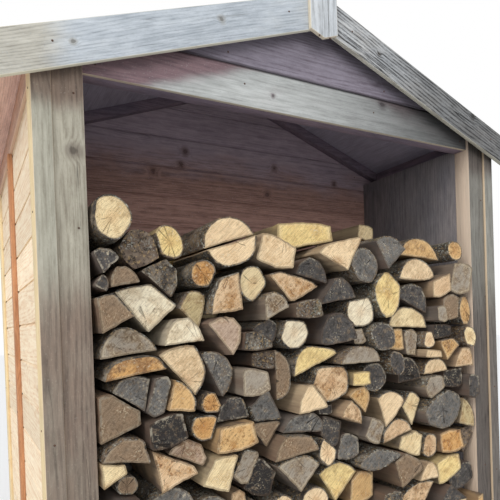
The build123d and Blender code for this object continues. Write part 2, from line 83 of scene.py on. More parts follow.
# %% [markdown]
# ## Light and surroundings
#
# The day was bright with a soft sun from the left. A pale sky all round gives the shade inside the bay its
# own light, one wide sun lamp gives the left wall its warmer face, and a second one from the front fills
# the shade. Together they light a plain surface at about the strength at which its colour is written. The
# sky and floor look white to the camera through Light Path, so a white background needs no more light on
# the wood.

# %% Light the scene
sky_colour = (0.93, 0.96, 1.0)
sky_strength = 0.62
white = (1.0, 1.0, 1.0)
# Name, place, turn in degrees, strength, width of the lamp's disc in degrees, and colour.
lamps = (
    ("soft_sun", (-4, -3, 5), (52, 0, -62), 1.2, 30, (1.0, 0.965, 0.91)),
    ("front_fill", (-1, -6, 2), (80, 0, -14), 1.0, 40, white),
)


def stage_colour(tree, colour, strength):
    """One colour of the sky, at its strength."""
    background = tree.nodes.new("ShaderNodeBackground")
    background.inputs["Color"].default_value = (*colour, 1)
    background.inputs["Strength"].default_value = strength
    return background


def seen_directly(tree):
    """1 where a ray comes from the camera, from gloss or through glass, and 0 for light that bounces."""
    path = tree.nodes.new("ShaderNodeLightPath")
    total = path.outputs["Is Camera Ray"]
    for name in ("Is Glossy Ray", "Is Transmission Ray"):
        most = tree.nodes.new("ShaderNodeMath")
        most.operation = "MAXIMUM"
        tree.links.new(total, most.inputs[0])
        tree.links.new(path.outputs[name], most.inputs[1])
        total = most.outputs[0]
    return total


world = bpy.data.worlds.new("pale_sky")
bpy.context.scene.world = world
world.use_nodes = True
sky = world.node_tree
sky.nodes.clear()
sky_mix = sky.nodes.new("ShaderNodeMixShader")
sky_out = sky.nodes.new("ShaderNodeOutputWorld")
sky.links.new(seen_directly(sky), sky_mix.inputs[0])
sky.links.new(stage_colour(sky, sky_colour, sky_strength).outputs[0], sky_mix.inputs[1])
sky.links.new(stage_colour(sky, white, 1.0).outputs[0], sky_mix.inputs[2])
sky.links.new(sky_mix.outputs[0], sky_out.inputs[0])

for name, place, turn, strength, width, colour in lamps:
    bpy.ops.object.light_add(type="SUN", location=place, rotation=[radians(angle) for angle in turn])
    lamp = bpy.context.object
    lamp.name = name
    lamp.data.energy = strength
    lamp.data.angle = radians(width)
    lamp.data.color = colour

bpy.context.scene.view_settings.view_transform = "Standard"
print("sky", sky_strength, "lamps", [(lamp[0], lamp[3]) for lamp in lamps])

# %% [markdown]
# ## Shader maths written as sums
#
# A finish is a tree of nodes, and most of them only add, multiply or compare. Wrapping a socket in a small
# class lets those read as sums, so `fibre * 0.3 + knot` adds two Math nodes. Colours go through Mix nodes,
# because a Math node would turn them grey.

# %% A class for sockets


class Wire:
    """A number, colour or vector on its way through a material."""

    def __init__(self, finish, socket):
        self.finish = finish
        self.socket = socket

    def maths(self, operation, *others):
        return self.finish.add("ShaderNodeMath", {"operation": operation}, dict(enumerate((self, *others))))

    def __add__(self, other):
        return self.maths("ADD", other)

    def __mul__(self, other):
        return self.maths("MULTIPLY", other)

    def __sub__(self, other):
        return self.maths("SUBTRACT", other)

    def __rsub__(self, other):
        return self.finish.add("ShaderNodeMath", {"operation": "SUBTRACT"}, {0: other, 1: self})

    def __truediv__(self, other):
        return self.maths("DIVIDE", other)

    def __pow__(self, other):
        return self.maths("POWER", other)

    __radd__ = __add__
    __rmul__ = __mul__

    def between(self, low, high):
        """0 below low, 1 above high and a smooth rise between. With low above high it falls instead."""
        settings = {"interpolation_type": "SMOOTHSTEP"}
        return self.finish.add("ShaderNodeMapRange", settings, {0: self, 1: low, 2: high, 3: 0.0, 4: 1.0})


print("sockets can be added and multiplied")

# %% A class for materials


class Finish:
    """A material whose nodes are added one by one."""

    def __init__(self, name, roughness=0.8):
        self.material = bpy.data.materials.new(name)
        self.material.use_nodes = True
        self.tree = self.material.node_tree
        self.shader = self.tree.nodes["Principled BSDF"]
        self.shader.inputs["Roughness"].default_value = roughness
        self.shader.inputs["Specular IOR Level"].default_value = 0.25

    def feed(self, socket, value):
        if isinstance(value, Wire):
            self.tree.links.new(value.socket, socket)
        else:
            socket.default_value = value

    def add(self, kind, settings=None, values=None, out=0):
        """A node of a kind, with its settings made first and then its sockets, and one of its outputs."""
        node = self.tree.nodes.new(kind)
        for name, value in (settings or {}).items():
            setattr(node, name, value)
        for name, value in (values or {}).items():
            self.feed(node.inputs[name], value)
        return Wire(self, node.outputs[out])

    def attribute(self, name, out="Fac"):
        """A value that travels with the mesh."""
        return self.add("ShaderNodeAttribute", {"attribute_name": name}, out=out)

    def vector(self, operation, *values, out="Vector"):
        """Vector maths. A length or a distance comes out as Value."""
        return self.add("ShaderNodeVectorMath", {"operation": operation}, dict(enumerate(values)), out)

    def together(self, x, y, z):
        """A vector made of three numbers."""
        return self.add("ShaderNodeCombineXYZ", None, {0: x, 1: y, 2: z})

    def turned(self, vector, turn):
        """A vector turned about the origin."""
        values = {"Vector": vector, "Rotation": turn, "Scale": (1, 1, 1)}
        return self.add("ShaderNodeMapping", {"vector_type": "POINT"}, values)

    def place(self, scale, turn=(0, 0, 0), offset=None, source=None):
        """Coordinates in metres on the object, turned, moved and then scaled along each axis."""
        if source is None:
            source = self.add("ShaderNodeTexCoord", out="Object")
        moved = self.turned(source, turn)
        if offset is not None:
            moved = self.vector("ADD", moved, offset)
        return self.vector("MULTIPLY", moved, scale)

    def cloud(self, place, size=1.0, detail=4.0, rough=0.55, bend=0.0):
        """Soft noise from 0 to 1."""
        values = {"Vector": place, "Scale": size, "Detail": detail, "Roughness": rough, "Distortion": bend}
        return self.add("ShaderNodeTexNoise", None, values)

    def mix(self, share, first, second, how="MIX"):
        """From one colour to another by a share from 0 to 1."""
        settings = {"data_type": "RGBA", "blend_type": how}
        return self.add("ShaderNodeMix", settings, {0: share, 6: first, 7: second}, out=2)

    def over(self, colour, *layers):
        """A colour with others laid over it, each given by its share, its colour and how it blends."""
        for share, *layer in layers:
            colour = self.mix(share, colour, *layer)
        return colour

    def relief(self, height, depth):
        """Bump of a height from 0 to 1 that stands depth metres deep."""
        values = {"Height": height, "Distance": depth, "Strength": 1.0}
        self.feed(self.shader.inputs["Normal"], self.add("ShaderNodeBump", None, values))

    def done(self, colour, roughness=None):
        """The material, with its colour and, where it varies, its roughness."""
        self.feed(self.shader.inputs["Base Color"], colour)
        if roughness is not None:
            self.feed(self.shader.inputs["Roughness"], roughness)
        return self.material


def shade(red, green, blue):
    """A colour as it reads on a screen, from 0 to 255, turned into the shader's linear values."""
    return (*(((part / 255 + 0.055) / 1.055) ** 2.4 for part in (red, green, blue)), 1.0)


def darker(colour, share):
    """A share of a colour's light."""
    return (*(part * share for part in colour[:3]), 1.0)


print("material class ready")

# %% [markdown]
# ## Weathered softwood
#
# Every board of the store is sawn from a softwood stem. A growth ring is a long tube round the pith, so on
# a board it shows as nearly straight lines, close at the edges and wide apart in the middle. The finish
# measures how far each point lies from the pith and draws the rings from that, which is right on faces and
# edges alike. Long noise sways them, and a knot, a cell of a Voronoi pattern, pushes them aside. Boards in
# one piece of cladding share a mesh, so the number of its course shifts each pattern.

# %% Measure a board from its pith
along_x = (0, 0, 0)
along_y = (0, 0, radians(-90))
along_z = (0, radians(90), 0)
roof_pitch = 20
down_left = (0, radians(roof_pitch), 0)
down_right = (0, radians(-roof_pitch), 0)
knots_a_metre = (3.4, 9.0, 9.0)
pith_spread = 0.08


class Board(Finish):
    """A finish that knows how the grain runs and how far each point lies from the pith."""

    def __init__(self, name, turn, pith, mirror, course, shift):
        super().__init__(name)
        self.turn = turn
        self.where = self.add("ShaderNodeTexCoord", out="Object")
        self.x, self.y, self.z = (
            self.add("ShaderNodeSeparateXYZ", None, {0: self.where}, out=axis) for axis in "XYZ"
        )
        self.offset = Vector((shift, shift * 0.37, shift * 0.71))
        across = self.x.maths("ABSOLUTE") if mirror else self.x
        up = self.z - pith[2]
        if course:
            base, height = course
            number = ((self.z - base) / height).maths("FLOOR")
            values = {"W": number + shift}
            self.tone = self.add("ShaderNodeTexWhiteNoise", {"noise_dimensions": "1D"}, values, out="Value")
            slide = self.together(self.tone * 7.0, self.tone * 3.0, self.tone * 5.0)
            self.offset = self.vector("ADD", slide, self.offset)
            up = self.z - base - (number + 0.5) * height + (self.tone - 0.5) * pith_spread
        from_pith = self.together(across - pith[0], self.y - pith[1], up)
        crossing = self.vector("MULTIPLY", self.turned(from_pith, turn), (0, 1, 1))
        self.radius = self.vector("LENGTH", crossing, out="Value")

    def grain(self, along, width, detail, rough):
        """Noise so many times a metre along the grain and across it."""
        place = self.place((along, width, width), self.turn, self.offset, self.where)
        return self.cloud(place, 1.0, detail, rough)

    def knots(self, share, known, ragged):
        """The hearts of the knots, the dark rims round them and how far they push the rings aside."""
        place = self.place(knots_a_metre, self.turn, self.offset, self.where)
        values = {"Vector": place, "Scale": 1.0, "Randomness": 0.9}
        apart = self.add("ShaderNodeTexVoronoi", {"feature": "F1"}, values)
        cell = self.add("ShaderNodeTexVoronoi", {"feature": "F1"}, values, out="Color")
        chosen = self.add("ShaderNodeSeparateColor", None, {0: cell}).between(1 - share, 1.01 - share)
        heart = apart.between(0.15, 0.09) * chosen
        rim = apart.between(0.26, 0.15) * chosen
        push = apart.between(0.6, 0.1) * chosen
        for knot, size in known:
            apart = self.vector("DISTANCE", self.where, knot, out="Value") / size + ragged
            heart = heart.maths("MAXIMUM", apart.between(1.0, 0.5))
            rim = rim.maths("MAXIMUM", apart.between(2.2, 0.9))
            push = push.maths("MAXIMUM", apart.between(3.4, 0.4) * 0.6)
        return heart, rim, push


print("board class ready")

# %% [markdown]
# ## The colours of old wood
#
# Over the stained wood lies a grey skin where rain and sun reach it. Both have a pale and a dark colour,
# and the rings, streaks and spots of the wood mix the two. Each finish starts its patterns at another
# place, so that no two boards look alike.

# %% Make the board finish
# How often each noise repeats in a metre along the grain and across it, its detail and its roughness.
wood_noises = {
    "sway": (0.9, 3.5, 2.0, 0.45),
    "shiver": (5.0, 24.0, 2.0, 0.5),
    "streak": (3.0, 60.0, 4.0, 0.62),
    "fibre": (9.0, 230.0, 3.0, 0.65),
    "patch": (4.5, 10.0, 5.0, 0.65),
    "speck": (150.0, 230.0, 2.0, 0.6),
    "mottle": (16.0, 75.0, 5.0, 0.7),
    "crack": (0.8, 30.0, 1.0, 0.3),
}
sway_reach = 0.05
shiver_reach = 0.004
knot_reach = 0.016
gap_shadow_colour = shade(34, 27, 27)
board_finishes = []


def board_finish(
    name, wood, skin, turn=along_x, pith=(0, 0, 0), mirror=True, course=None, ring=0.006, figure=0.4,
    wavy=1.0, knots=0.1, knots_at=(), weather=0.5, shelter_and_shade=None, raised=0.0006, splits=0.3, edge=None,
    right_tone=None, gap_shadow_height=None,
):
    """Softwood with its grain along the first axis after the turn.

    wood, skin: a pale and a dark colour each, for the wood and for the weathered skin over it
    pith, mirror: middle of the growth rings, and whether the other side of the store mirrors it
    course: height of the lowest course and of each course, on cladding
    ring, figure, wavy: width of a growth ring, how strongly the rings show and how much they sway
    knots, knots_at: share of the cells that hold a knot, and the place and size of single knots
    weather, shelter_and_shade: how far the skin covers the wood, and a function that keeps it off, on
    boards under the roof also painting shade
    raised, splits: depth of the relief, and how strongly splits show
    edge: colour of the faces that are marked as worn edges
    right_tone: brightness at the right, where it starts and where it is reached
    gap_shadow_height: height of a dark line between two boards, a painted shadow in the gap under the upper
    one
    """
    shift = 2.0 + 3.0 * len(board_finishes)
    board = Board(name, turn, pith, mirror, course, shift)
    sway, shiver, streak, fibre, patch, speck, mottle, crack = (
        board.grain(*values) for values in wood_noises.values()
    )
    heart, rim, push = board.knots(knots, knots_at, (streak - 0.5) * 1.5 + (mottle - 0.5) * 2.5)
    rings = board.radius + sway * (sway_reach * wavy) + shiver * (shiver_reach * wavy) + push * knot_reach
    wave = (rings * (tau / ring)).maths("SINE") * 0.5 + 0.5
    line = wave**2.4 * (mottle * 2.4 - 0.4).between(0.1, 1.3) * 1.5
    split = (crack - 0.5).maths("ABSOLUTE").between(0.006, 0.0) * patch.between(0.5, 0.6) * splits

    wood_pale, wood_dark, skin_pale, skin_dark = (shade(*colour) for colour in (*wood, *skin))
    uneven = (streak - 0.5) * 0.8 + (mottle - 0.5) * 1.3
    bare = board.mix(line * figure + uneven + (patch - 0.5) * 0.5 + 0.2, wood_pale, wood_dark)
    bare = board.mix(fibre.between(0.42, 0.75) * 0.5, bare, wood_dark)
    worn = board.mix(line * figure * 0.7 + uneven + (patch - 0.25) * 0.9, skin_pale, skin_dark)
    worn = board.mix(fibre.between(0.45, 0.72) * 0.5, worn, skin_dark)
    cover = (patch - 0.5) * 0.8 + (streak - 0.5) * 0.25 + weather
    # The mask keeps the skin off sheltered wood; under the roof the bare wood it shows, or the bluish skin it
    # leaves, is painted shade.
    if shelter_and_shade:
        cover = cover - shelter_and_shade(board) * 1.2
    colour = board.over(
        board.mix(cover.between(0.15, 0.85), bare, worn),
        (rim * 0.5, wood_dark),
        (heart * 0.6, darker(wood_dark, 0.35)),
        (speck.between(0.58, 0.72) * 0.3, skin_dark),
        (speck.between(0.4, 0.28) * 0.25, skin_pale),
        (split * 0.9, darker(wood_dark, 0.15)),
    )
    if course:
        values = {"Value": board.tone * 0.26 + 0.87, "Color": colour}
        colour = board.add("ShaderNodeHueSaturation", None, values)
    # A painted shadow in the gap where the upper board laps over the lower one.
    if gap_shadow_height:
        gap_shadow = (board.z - gap_shadow_height).maths("ABSOLUTE").between(0.006, 0.002)
        colour = board.mix(gap_shadow * 0.6, colour, gap_shadow_colour)
    if right_tone:
        brightness, start, end = right_tone
        share = board.x.between(start, end)
        values = {"Value": share * (brightness - 1) + 1, "Saturation": 1 - share * 0.4, "Color": colour}
        colour = board.add("ShaderNodeHueSaturation", None, values)
    if edge:
        colour = board.mix(board.attribute("worn_edge") * (0.55 + 0.45 * streak), colour, shade(*edge))
    board.relief(fibre * 0.3 + line * figure * 0.8 + mottle * 0.7 - split * 1.6 - heart * 0.3, raised)
    board_finishes.append(name)
    return board.done(colour, streak * 0.16 + 0.7)


print("board finish ready, with", len(wood_noises), "noises")

# %% [markdown]
# ## Whole faces from the model's triangles
#
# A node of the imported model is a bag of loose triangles. A copy of it is merged into whole flat faces
# first, and then its edges can be found and worked like those of a mesh made by hand. A sawn board never
# has a knife edge, so each board's copy gets a small bevel, which catches the light along its corners. The
# copy stands in for the node in the picture, and the node stays behind for collision.

# %% Copy a node and soften its edges
merge_distance = 0.00001
flat_angle = radians(0.5)
bevel_angle = radians(30)
board_smooth_angle = radians(35)


def work_on(piece):
    """Select one object alone, ready for an operator."""
    bpy.ops.object.select_all(action="DESELECT")
    piece.select_set(True)
    bpy.context.view_layer.objects.active = piece


def stand_for(piece, *node_names, slot):
    """Let a finished piece stand for nodes and ride on the store."""
    for node_name in node_names:
        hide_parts(node_name)
    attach(piece, "root")


def whole_copy(node_name, name):
    """A copy of a node with its triangles merged into whole flat faces."""
    mesh = nodes[node_name].data.copy()
    mesh.materials.clear()
    piece = bpy.data.objects.new(name, mesh)
    bpy.context.scene.collection.objects.link(piece)
    work_on(piece)
    bpy.ops.mesh.customdata_custom_splitnormals_clear()
    bpy.ops.object.mode_set(mode="EDIT")
    bpy.ops.mesh.select_all(action="SELECT")
    bpy.ops.mesh.remove_doubles(threshold=merge_distance)
    bpy.ops.mesh.dissolve_limited(angle_limit=flat_angle)
    bpy.ops.object.mode_set(mode="OBJECT")
    return piece


def soften(piece, width):
    """Bevel the corners of a piece and smooth across them."""
    work_on(piece)
    bevel = piece.modifiers.new("soft_edges", "BEVEL")
    bevel.width = width
    bevel.segments = 2
    bevel.limit_method = "ANGLE"
    bevel.angle_limit = bevel_angle
    bpy.ops.object.modifier_apply(modifier=bevel.name)
    bpy.ops.object.shade_smooth_by_angle(angle=board_smooth_angle)


print("nodes to copy from:", len(nodes))

# %% Mark the worn edges and dress a board
thin_board = 0.022
narrow_face = 0.006
edge_mark = 0.9


def mark_edges(mesh, bay_side, corner):
    """Store how far each face is a corner or a thin edge, which stay paler than the wide faces of a board.

    bay_side: also marks the faces that look towards the middle of the bay
    corner: the mark of the narrow faces along the corners
    """
    marks = mesh.attributes.new("worn_edge", "FLOAT", "FACE")
    for face in mesh.polygons:
        corners = [mesh.vertices[point].co for point in face.vertices]
        longest = max((first - second).length for first, second in zip(corners, corners[1:] + corners[:1]))
        width = face.area / longest
        thin_edge = width < thin_board and (face.normal.z < -0.5 or abs(face.normal.x) > 0.5)
        to_bay = bay_side and face.normal.x * face.center.x < -0.5 * abs(face.center.x)
        mark = corner if width < narrow_face else 0.0
        marks.data[face.index].value = edge_mark if thin_edge or to_bay else mark


def dress_board(node_name, material, slot, width=0.0018, bay_side=False, corner=0.6):
    """Let a softened copy of a node, with its edges marked and its finish on, stand for it."""
    piece = whole_copy(node_name, node_name + "_timber")
    soften(piece, width)
    mark_edges(piece.data, bay_side, corner)
    piece.data.materials.append(material)
    stand_for(piece, node_name, slot=slot)


def paint_node(node_name, material):
    """Give a node of the model a finish and keep its shape."""
    mesh = nodes[node_name].data
    if not mesh.materials:
        mesh.materials.append(material)
    for index in range(len(mesh.materials)):
        mesh.materials[index] = material


print("boards can be dressed")

# %% [markdown]
# ## Finishes of the boards
#
# The boards have weathered in different ways. Those in the open are grey: the bargeboards, the front posts
# and the trims. Just below the roof the old red-brown stain is still there, so a shelter mask, worked out
# from the height or from the depth below the roof's slope, keeps the grey off. Under the roof the same mask
# also paints shade: the darker, purple-tinted bare wood it shows below the eaves and the roof's slope, and
# the bluish skin it leaves inside the bay, stand for the shade there. The left wall stands in the sun and
# is pale. The thin edges of the boards are paler and warmer than their faces.

# %% Dress the roof's edge
model_apex = round(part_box("ridge_beam")[1].z, 3)
roof_slope = round(tan(radians(roof_pitch)), 3)


def below_slope(board):
    """Depth below the line of the roof's slopes, in metres."""
    return model_apex - board.z - board.x.maths("ABSOLUTE") * roof_slope


def under_slope(board):
    """1 close below the roof's slope and 0 well below it."""
    return below_slope(board).between(0.25, 0.06)


def under_left_slope(board):
    """As under_slope, but narrower and fading out to the right."""
    return below_slope(board).between(0.19, 0.08) * (1.0 - 0.8 * board.x.between(0.1, 0.6))


def far_left(board):
    """0.8 at the left eaves, fading to nothing over the post."""
    return 0.8 * board.x.between(-0.72, -0.9)


barge_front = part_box("bargeboard_front_left")[0].y
barge_left_finish = board_finish(
    "grey_green_board",
    wood=((202, 199, 188), (152, 148, 138)),
    skin=((202, 209, 216), (147, 155, 163)),
    turn=down_left, pith=(0.1, 0.02, 0.02), mirror=False,
    ring=0.007, figure=0.35, wavy=1.8, knots=0.07,
    knots_at=(((-0.742, barge_front, 1.845), 0.006), ((-0.344, barge_front, 1.997), 0.008)),
    weather=0.8, shelter_and_shade=far_left, raised=0.001, splits=0.4, edge=(236, 230, 205),
)
barge_right_finish = board_finish(
    "raised_grain_board",
    wood=((203, 189, 169), (97, 88, 79)),
    skin=((220, 226, 231), (102, 103, 106)),
    turn=down_right, pith=(0.1, 0.02, 0.04), mirror=False,
    ring=0.012, figure=0.8, wavy=2.6,
    knots_at=(((0.689, barge_front, 1.905), 0.009), ((0.231, barge_front, 2.033), 0.006)),
    weather=0.6, raised=0.003, splits=1.0, edge=(208, 204, 188), right_tone=(0.36, -0.05, 0.65),
)
for end in ("front", "rear"):
    dress_board(f"bargeboard_{end}_left", barge_left_finish, "weathered_board")
    dress_board(f"bargeboard_{end}_right", barge_right_finish, "weathered_board")

finial_finish = board_finish(
    "finial_board",
    wood=((206, 198, 174), (150, 140, 120)),
    skin=((217, 222, 227), (160, 163, 165)),
    turn=along_z, pith=(0.07, -0.6, 0), ring=0.008, figure=0.5, knots=0.0,
    weather=0.8, raised=0.0012, splits=1.0, edge=(238, 222, 190),
)
dress_board("finials", finial_finish, "weathered_board", 0.0016)
print("roof edge dressed below an apex of", model_apex, "m")

# %% Dress the posts and trims


def below_eaves(board):
    """1 just below the eaves, where the bare wood it shows is partly painted shade, and again, but less,
    lower down.
    """
    return board.z.between(1.64, 1.80) + 0.62 * board.z.between(1.42, 1.12)


post_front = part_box("front_post_left")[0].y
right_post_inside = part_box("front_post_right")[0].x
# The darker, purple-tinted bare wood of posts and trims just below the eaves is old stain with painted shade
# from the overhang.
post_finish = board_finish(
    "post_board",
    wood=((144, 126, 112), (96, 83, 76)),
    skin=((186, 181, 165), (130, 122, 108)),
    turn=along_z, pith=(0.79, -0.55, 0), ring=0.0065, knots=0.08,
    knots_at=(((-0.742, post_front, 1.599), 0.013), ((right_post_inside, -0.60, 1.732), 0.011)),
    weather=1.0, shelter_and_shade=below_eaves, raised=0.001, splits=0.5, edge=(250, 226, 202),
    right_tone=(0.5, -0.1, 0.1),
)
trim_finish = board_finish(
    "trim_board",
    wood=((146, 129, 115), (98, 86, 78)),
    skin=((184, 181, 166), (134, 129, 115)),
    turn=along_z, pith=(0.83, -0.6, 0), figure=0.35, knots=0.06,
    weather=1.0, shelter_and_shade=below_eaves, splits=0.4, edge=(240, 214, 180), right_tone=(0.64, -0.1, 0.1),
)
side_trim_finish = board_finish(
    "sunny_trim_board",
    wood=((246, 224, 176), (212, 176, 128)),
    skin=((236, 224, 190), (190, 176, 144)),
    turn=along_z, pith=(0.80, -0.6, 0), figure=0.3, knots=0.05, weather=0.4, edge=(246, 232, 196),
)
eaves_finish = board_finish(
    "eaves_board",
    wood=((214, 172, 148), (156, 112, 90)),
    skin=((200, 180, 164), (150, 130, 116)),
    turn=along_y, pith=(0.8, 0, 1.9), knots=0.08, weather=0.4, edge=(226, 196, 170),
)
cover_finish = board_finish(
    "cover_board",
    wood=((206, 152, 112), (156, 104, 74)),
    skin=((196, 156, 124), (150, 112, 86)),
    turn=along_z, pith=(0.82, 0.03, 0), figure=0.3, knots=0.05, weather=0.25,
)
for side in ("left", "right"):
    dress_board("front_post_" + side, post_finish, "weathered_post", 0.0025, bay_side=True, corner=0.0)
for end in ("front", "rear"):
    dress_board(end + "_trims", trim_finish, "weathered_post", corner=0.0)
dress_board("side_trims", side_trim_finish, "outer_cladding")
dress_board("eaves_trims", eaves_finish, "outer_cladding")
dress_board("joint_covers", cover_finish, "outer_cladding")
print("posts and trims dressed, their front at", round(post_front, 3), "m")

# %% Finish the cladding
course_height = 0.116
wall_base = 0.025
partition_base = 0.047


def low_down(board):
    """1 beside the firewood, where the stain is warm, and 0 up under the roof, where the skin is painted
    shade.
    """
    return board.z.between(2.0, 1.55)


wall_finish = board_finish(
    "sunny_cladding",
    wood=((255, 240, 212), (228, 192, 154)),
    skin=((250, 236, 212), (214, 192, 164)),
    turn=along_y, pith=(0.77, 0, 0), course=(wall_base, course_height), weather=0.3,
)
rear_finish = board_finish(
    "rear_cladding",
    wood=((222, 186, 152), (176, 126, 96)),
    skin=((196, 182, 164), (150, 132, 116)),
    pith=(0, 0.58, 0), course=(wall_base, course_height), figure=0.45, weather=0.35,
)
partition_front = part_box("partition_wall")[0].y
partition_knots = (
    (-0.222, 1.80), (0.212, 1.836), (-0.337, 1.759), (0.172, 1.72), (0.537, 1.801), (-0.203, 1.853),
)
# Up under the roof the partition's skin is lightened and tinted blue-purple as painted shade; low down the
# warm stain is its own.
partition_finish = board_finish(
    "stained_cladding_and_shade",
    wood=((166, 130, 118), (108, 80, 72)),
    skin=((190, 173, 184), (140, 126, 136)),
    pith=(0, -0.10, 0), course=(partition_base, course_height), figure=0.35, knots=0.08,
    knots_at=tuple(((x, partition_front, z), 0.012) for x, z in partition_knots),
    weather=1.0, shelter_and_shade=low_down,
)
for side in ("left", "right"):
    for half in ("front", "rear"):
        paint_node(f"{side}_wall_{half}", wall_finish)
paint_node("rear_wall", rear_finish)
paint_node("partition_wall", partition_finish)
print("cladding finished, in courses of", course_height, "m")

# %% Dress the gable
gable_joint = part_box("gable_board_upper")[0].z
gable_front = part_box("gable_board_lower")[0].y
# The purple-grey of the upper board, and the purple bare wood both boards show close below the slopes, are
# painted shade under the roof.
upper_gable_finish = board_finish(
    "shaded_gable_board",
    wood=((150, 143, 155), (104, 95, 105)),
    skin=((155, 152, 162), (111, 106, 116)),
    pith=(0, -0.60, 1.96), ring=0.008, knots=0.03, weather=0.4, shelter_and_shade=under_slope, gap_shadow_height=gable_joint,
)
lower_gable_finish = board_finish(
    "lintel_board",
    wood=((150, 124, 128), (104, 86, 92)),
    skin=((202, 205, 203), (150, 151, 149)),
    pith=(0, -0.59, 1.85), ring=0.007, figure=0.3, knots=0.05,
    knots_at=(((0.289, gable_front, 1.898), 0.012), ((-0.152, gable_front, 1.846), 0.006)),
    weather=0.85, shelter_and_shade=under_left_slope, edge=(214, 200, 176), right_tone=(0.2, -0.3, 0.75),
    gap_shadow_height=gable_joint,
)
dress_board("gable_board_upper", upper_gable_finish, "gable_cladding", 0.001, corner=0.0)
dress_board("gable_board_lower", lower_gable_finish, "gable_cladding", 0.001, corner=0.0)
print("gable boards meet at", round(gable_joint, 3), "m")

# %% Dress the inside of the bay
# The frame timbers under the roof are lightened and tinted purple-blue: painted shade over the wood's stain.
shaded_frame_wood = ((148, 128, 138), (103, 88, 97))
shaded_frame_skin = ((134, 125, 142), (97, 90, 103))


def outside_bay(board):
    """1 beyond the posts and 0 over the bay, where the bluish skin of the roof boards is painted shade."""
    return board.x.maths("ABSOLUTE").between(0.77, 0.80)


lining_finish = board_finish(
    "lining_board",
    wood=((146, 138, 136), (100, 94, 94)),
    skin=((138, 136, 140), (98, 96, 102)),
    turn=along_z, pith=(0.80, -0.35, 0), ring=0.009, figure=0.35, knots=0.05,
)
# Over the bay the underside of the roof boards takes a lightened bluish skin: painted shade under the roof.
soffit_finish = board_finish(
    "soffit_board",
    wood=((249, 217, 204), (200, 164, 150)),
    skin=((182, 176, 194), (142, 136, 152)),
    turn=along_y, pith=(0.4, 0, 2.2), figure=0.3, knots=0.08, weather=1.0, shelter_and_shade=outside_bay,
)
across_finish = board_finish("frame_timber_across", shaded_frame_wood, shaded_frame_skin, along_x, (0, 0, 1.9))
along_finish = board_finish("frame_timber_along", shaded_frame_wood, shaded_frame_skin, along_y, (0.5, 0, 1.9))
upright_finish = board_finish("frame_timber_upright", shaded_frame_wood, shaded_frame_skin, along_z, (0.78, 0.3, 0))
floor_finish = board_finish(
    "floor_board",
    wood=((176, 146, 116), (120, 94, 72)),
    skin=((156, 146, 132), (112, 102, 92)),
    turn=along_y, pith=(0.4, 0, -0.03), edge=(196, 176, 150),
)
for side in ("left", "right"):
    dress_board("lining_" + side, lining_finish, "lining_board")
for side in ("left", "right"):
    dress_board("roof_boards_" + side, soffit_finish, "roof_board", 0.001)
frame_timbers = {
    "lintel_rail": across_finish,
    "front_rafters": across_finish,
    "partition_rafters": across_finish,
    "rear_rafters": across_finish,
    "eaves_rails": along_finish,
    "ridge_beam": along_finish,
    "joint_posts": upright_finish,
    "rear_posts": upright_finish,
    "floor_bearers": across_finish,
    "floor_boards": floor_finish,
}
for node_name, finish in frame_timbers.items():
    dress_board(node_name, finish, "frame_timber")
print("board finishes so far:", len(board_finishes))

# %% [markdown]
# ## Roofing felt
#
# The roof isn't seen in the photograph, and such a store is covered with mineral felt: a bitumen sheet
# with fine slate grit on it. The grit is a very fine Voronoi pattern that mixes two greys and gives a
# little relief.

# %% Finish the felt
grit_a_metre = 520.0
felt = Finish("mineral_felt", roughness=0.92)
felt_place = felt.place((1, 1, 1))
grit_values = {"Vector": felt_place, "Scale": grit_a_metre}
grit = felt.add("ShaderNodeTexVoronoi", {"feature": "F1"}, grit_values, "Color")
grit_share = felt.add("ShaderNodeSeparateColor", None, {0: grit})
wear = felt.cloud(felt_place, 5.0, 5.0, 0.6)
felt_colour = felt.mix(grit_share, shade(70, 76, 72), shade(112, 120, 112))
felt_colour = felt.mix(wear.between(0.5, 0.75) * 0.5, felt_colour, shade(128, 126, 112))
felt.relief(grit_share * 0.6 + wear * 0.4, 0.0008)
dress_board("roof_felt", felt.done(felt_colour), "roof_felt", 0.001)
print("felt finished")

# %% [markdown]
# ## Sawn ends, split faces and bark
#
# A piece of firewood shows three surfaces. The sawn end shows growth rings round the pith, radial splits
# and the grey that comes with age. The split face shows long fibres. The outside of the stem keeps its
# bark, which is dark, rough and spotted with lichen. Each surface gets a finish of its own. The rings need
# to know where a log's pith is, and each log has its own colour, so those travel with the mesh as
# attributes named rings and log_colour.

# %% Make the finish of the sawn ends
ring_width = 0.0046


class LogFinish(Finish):
    """A finish for firewood, whose pattern starts at another place on each log."""

    def __init__(self, name, roughness=0.8):
        super().__init__(name, roughness)
        self.chance = self.attribute("log_chance")
        self.drift = self.together(self.chance * 9.0, self.chance * 5.0, self.chance * 13.0)

    def grain(self, across, along, detail, rough, bend=0.0):
        """Noise so many times a metre across a log and along it."""
        return self.cloud(self.place((across, along, across), offset=self.drift), 1.0, detail, rough, bend)


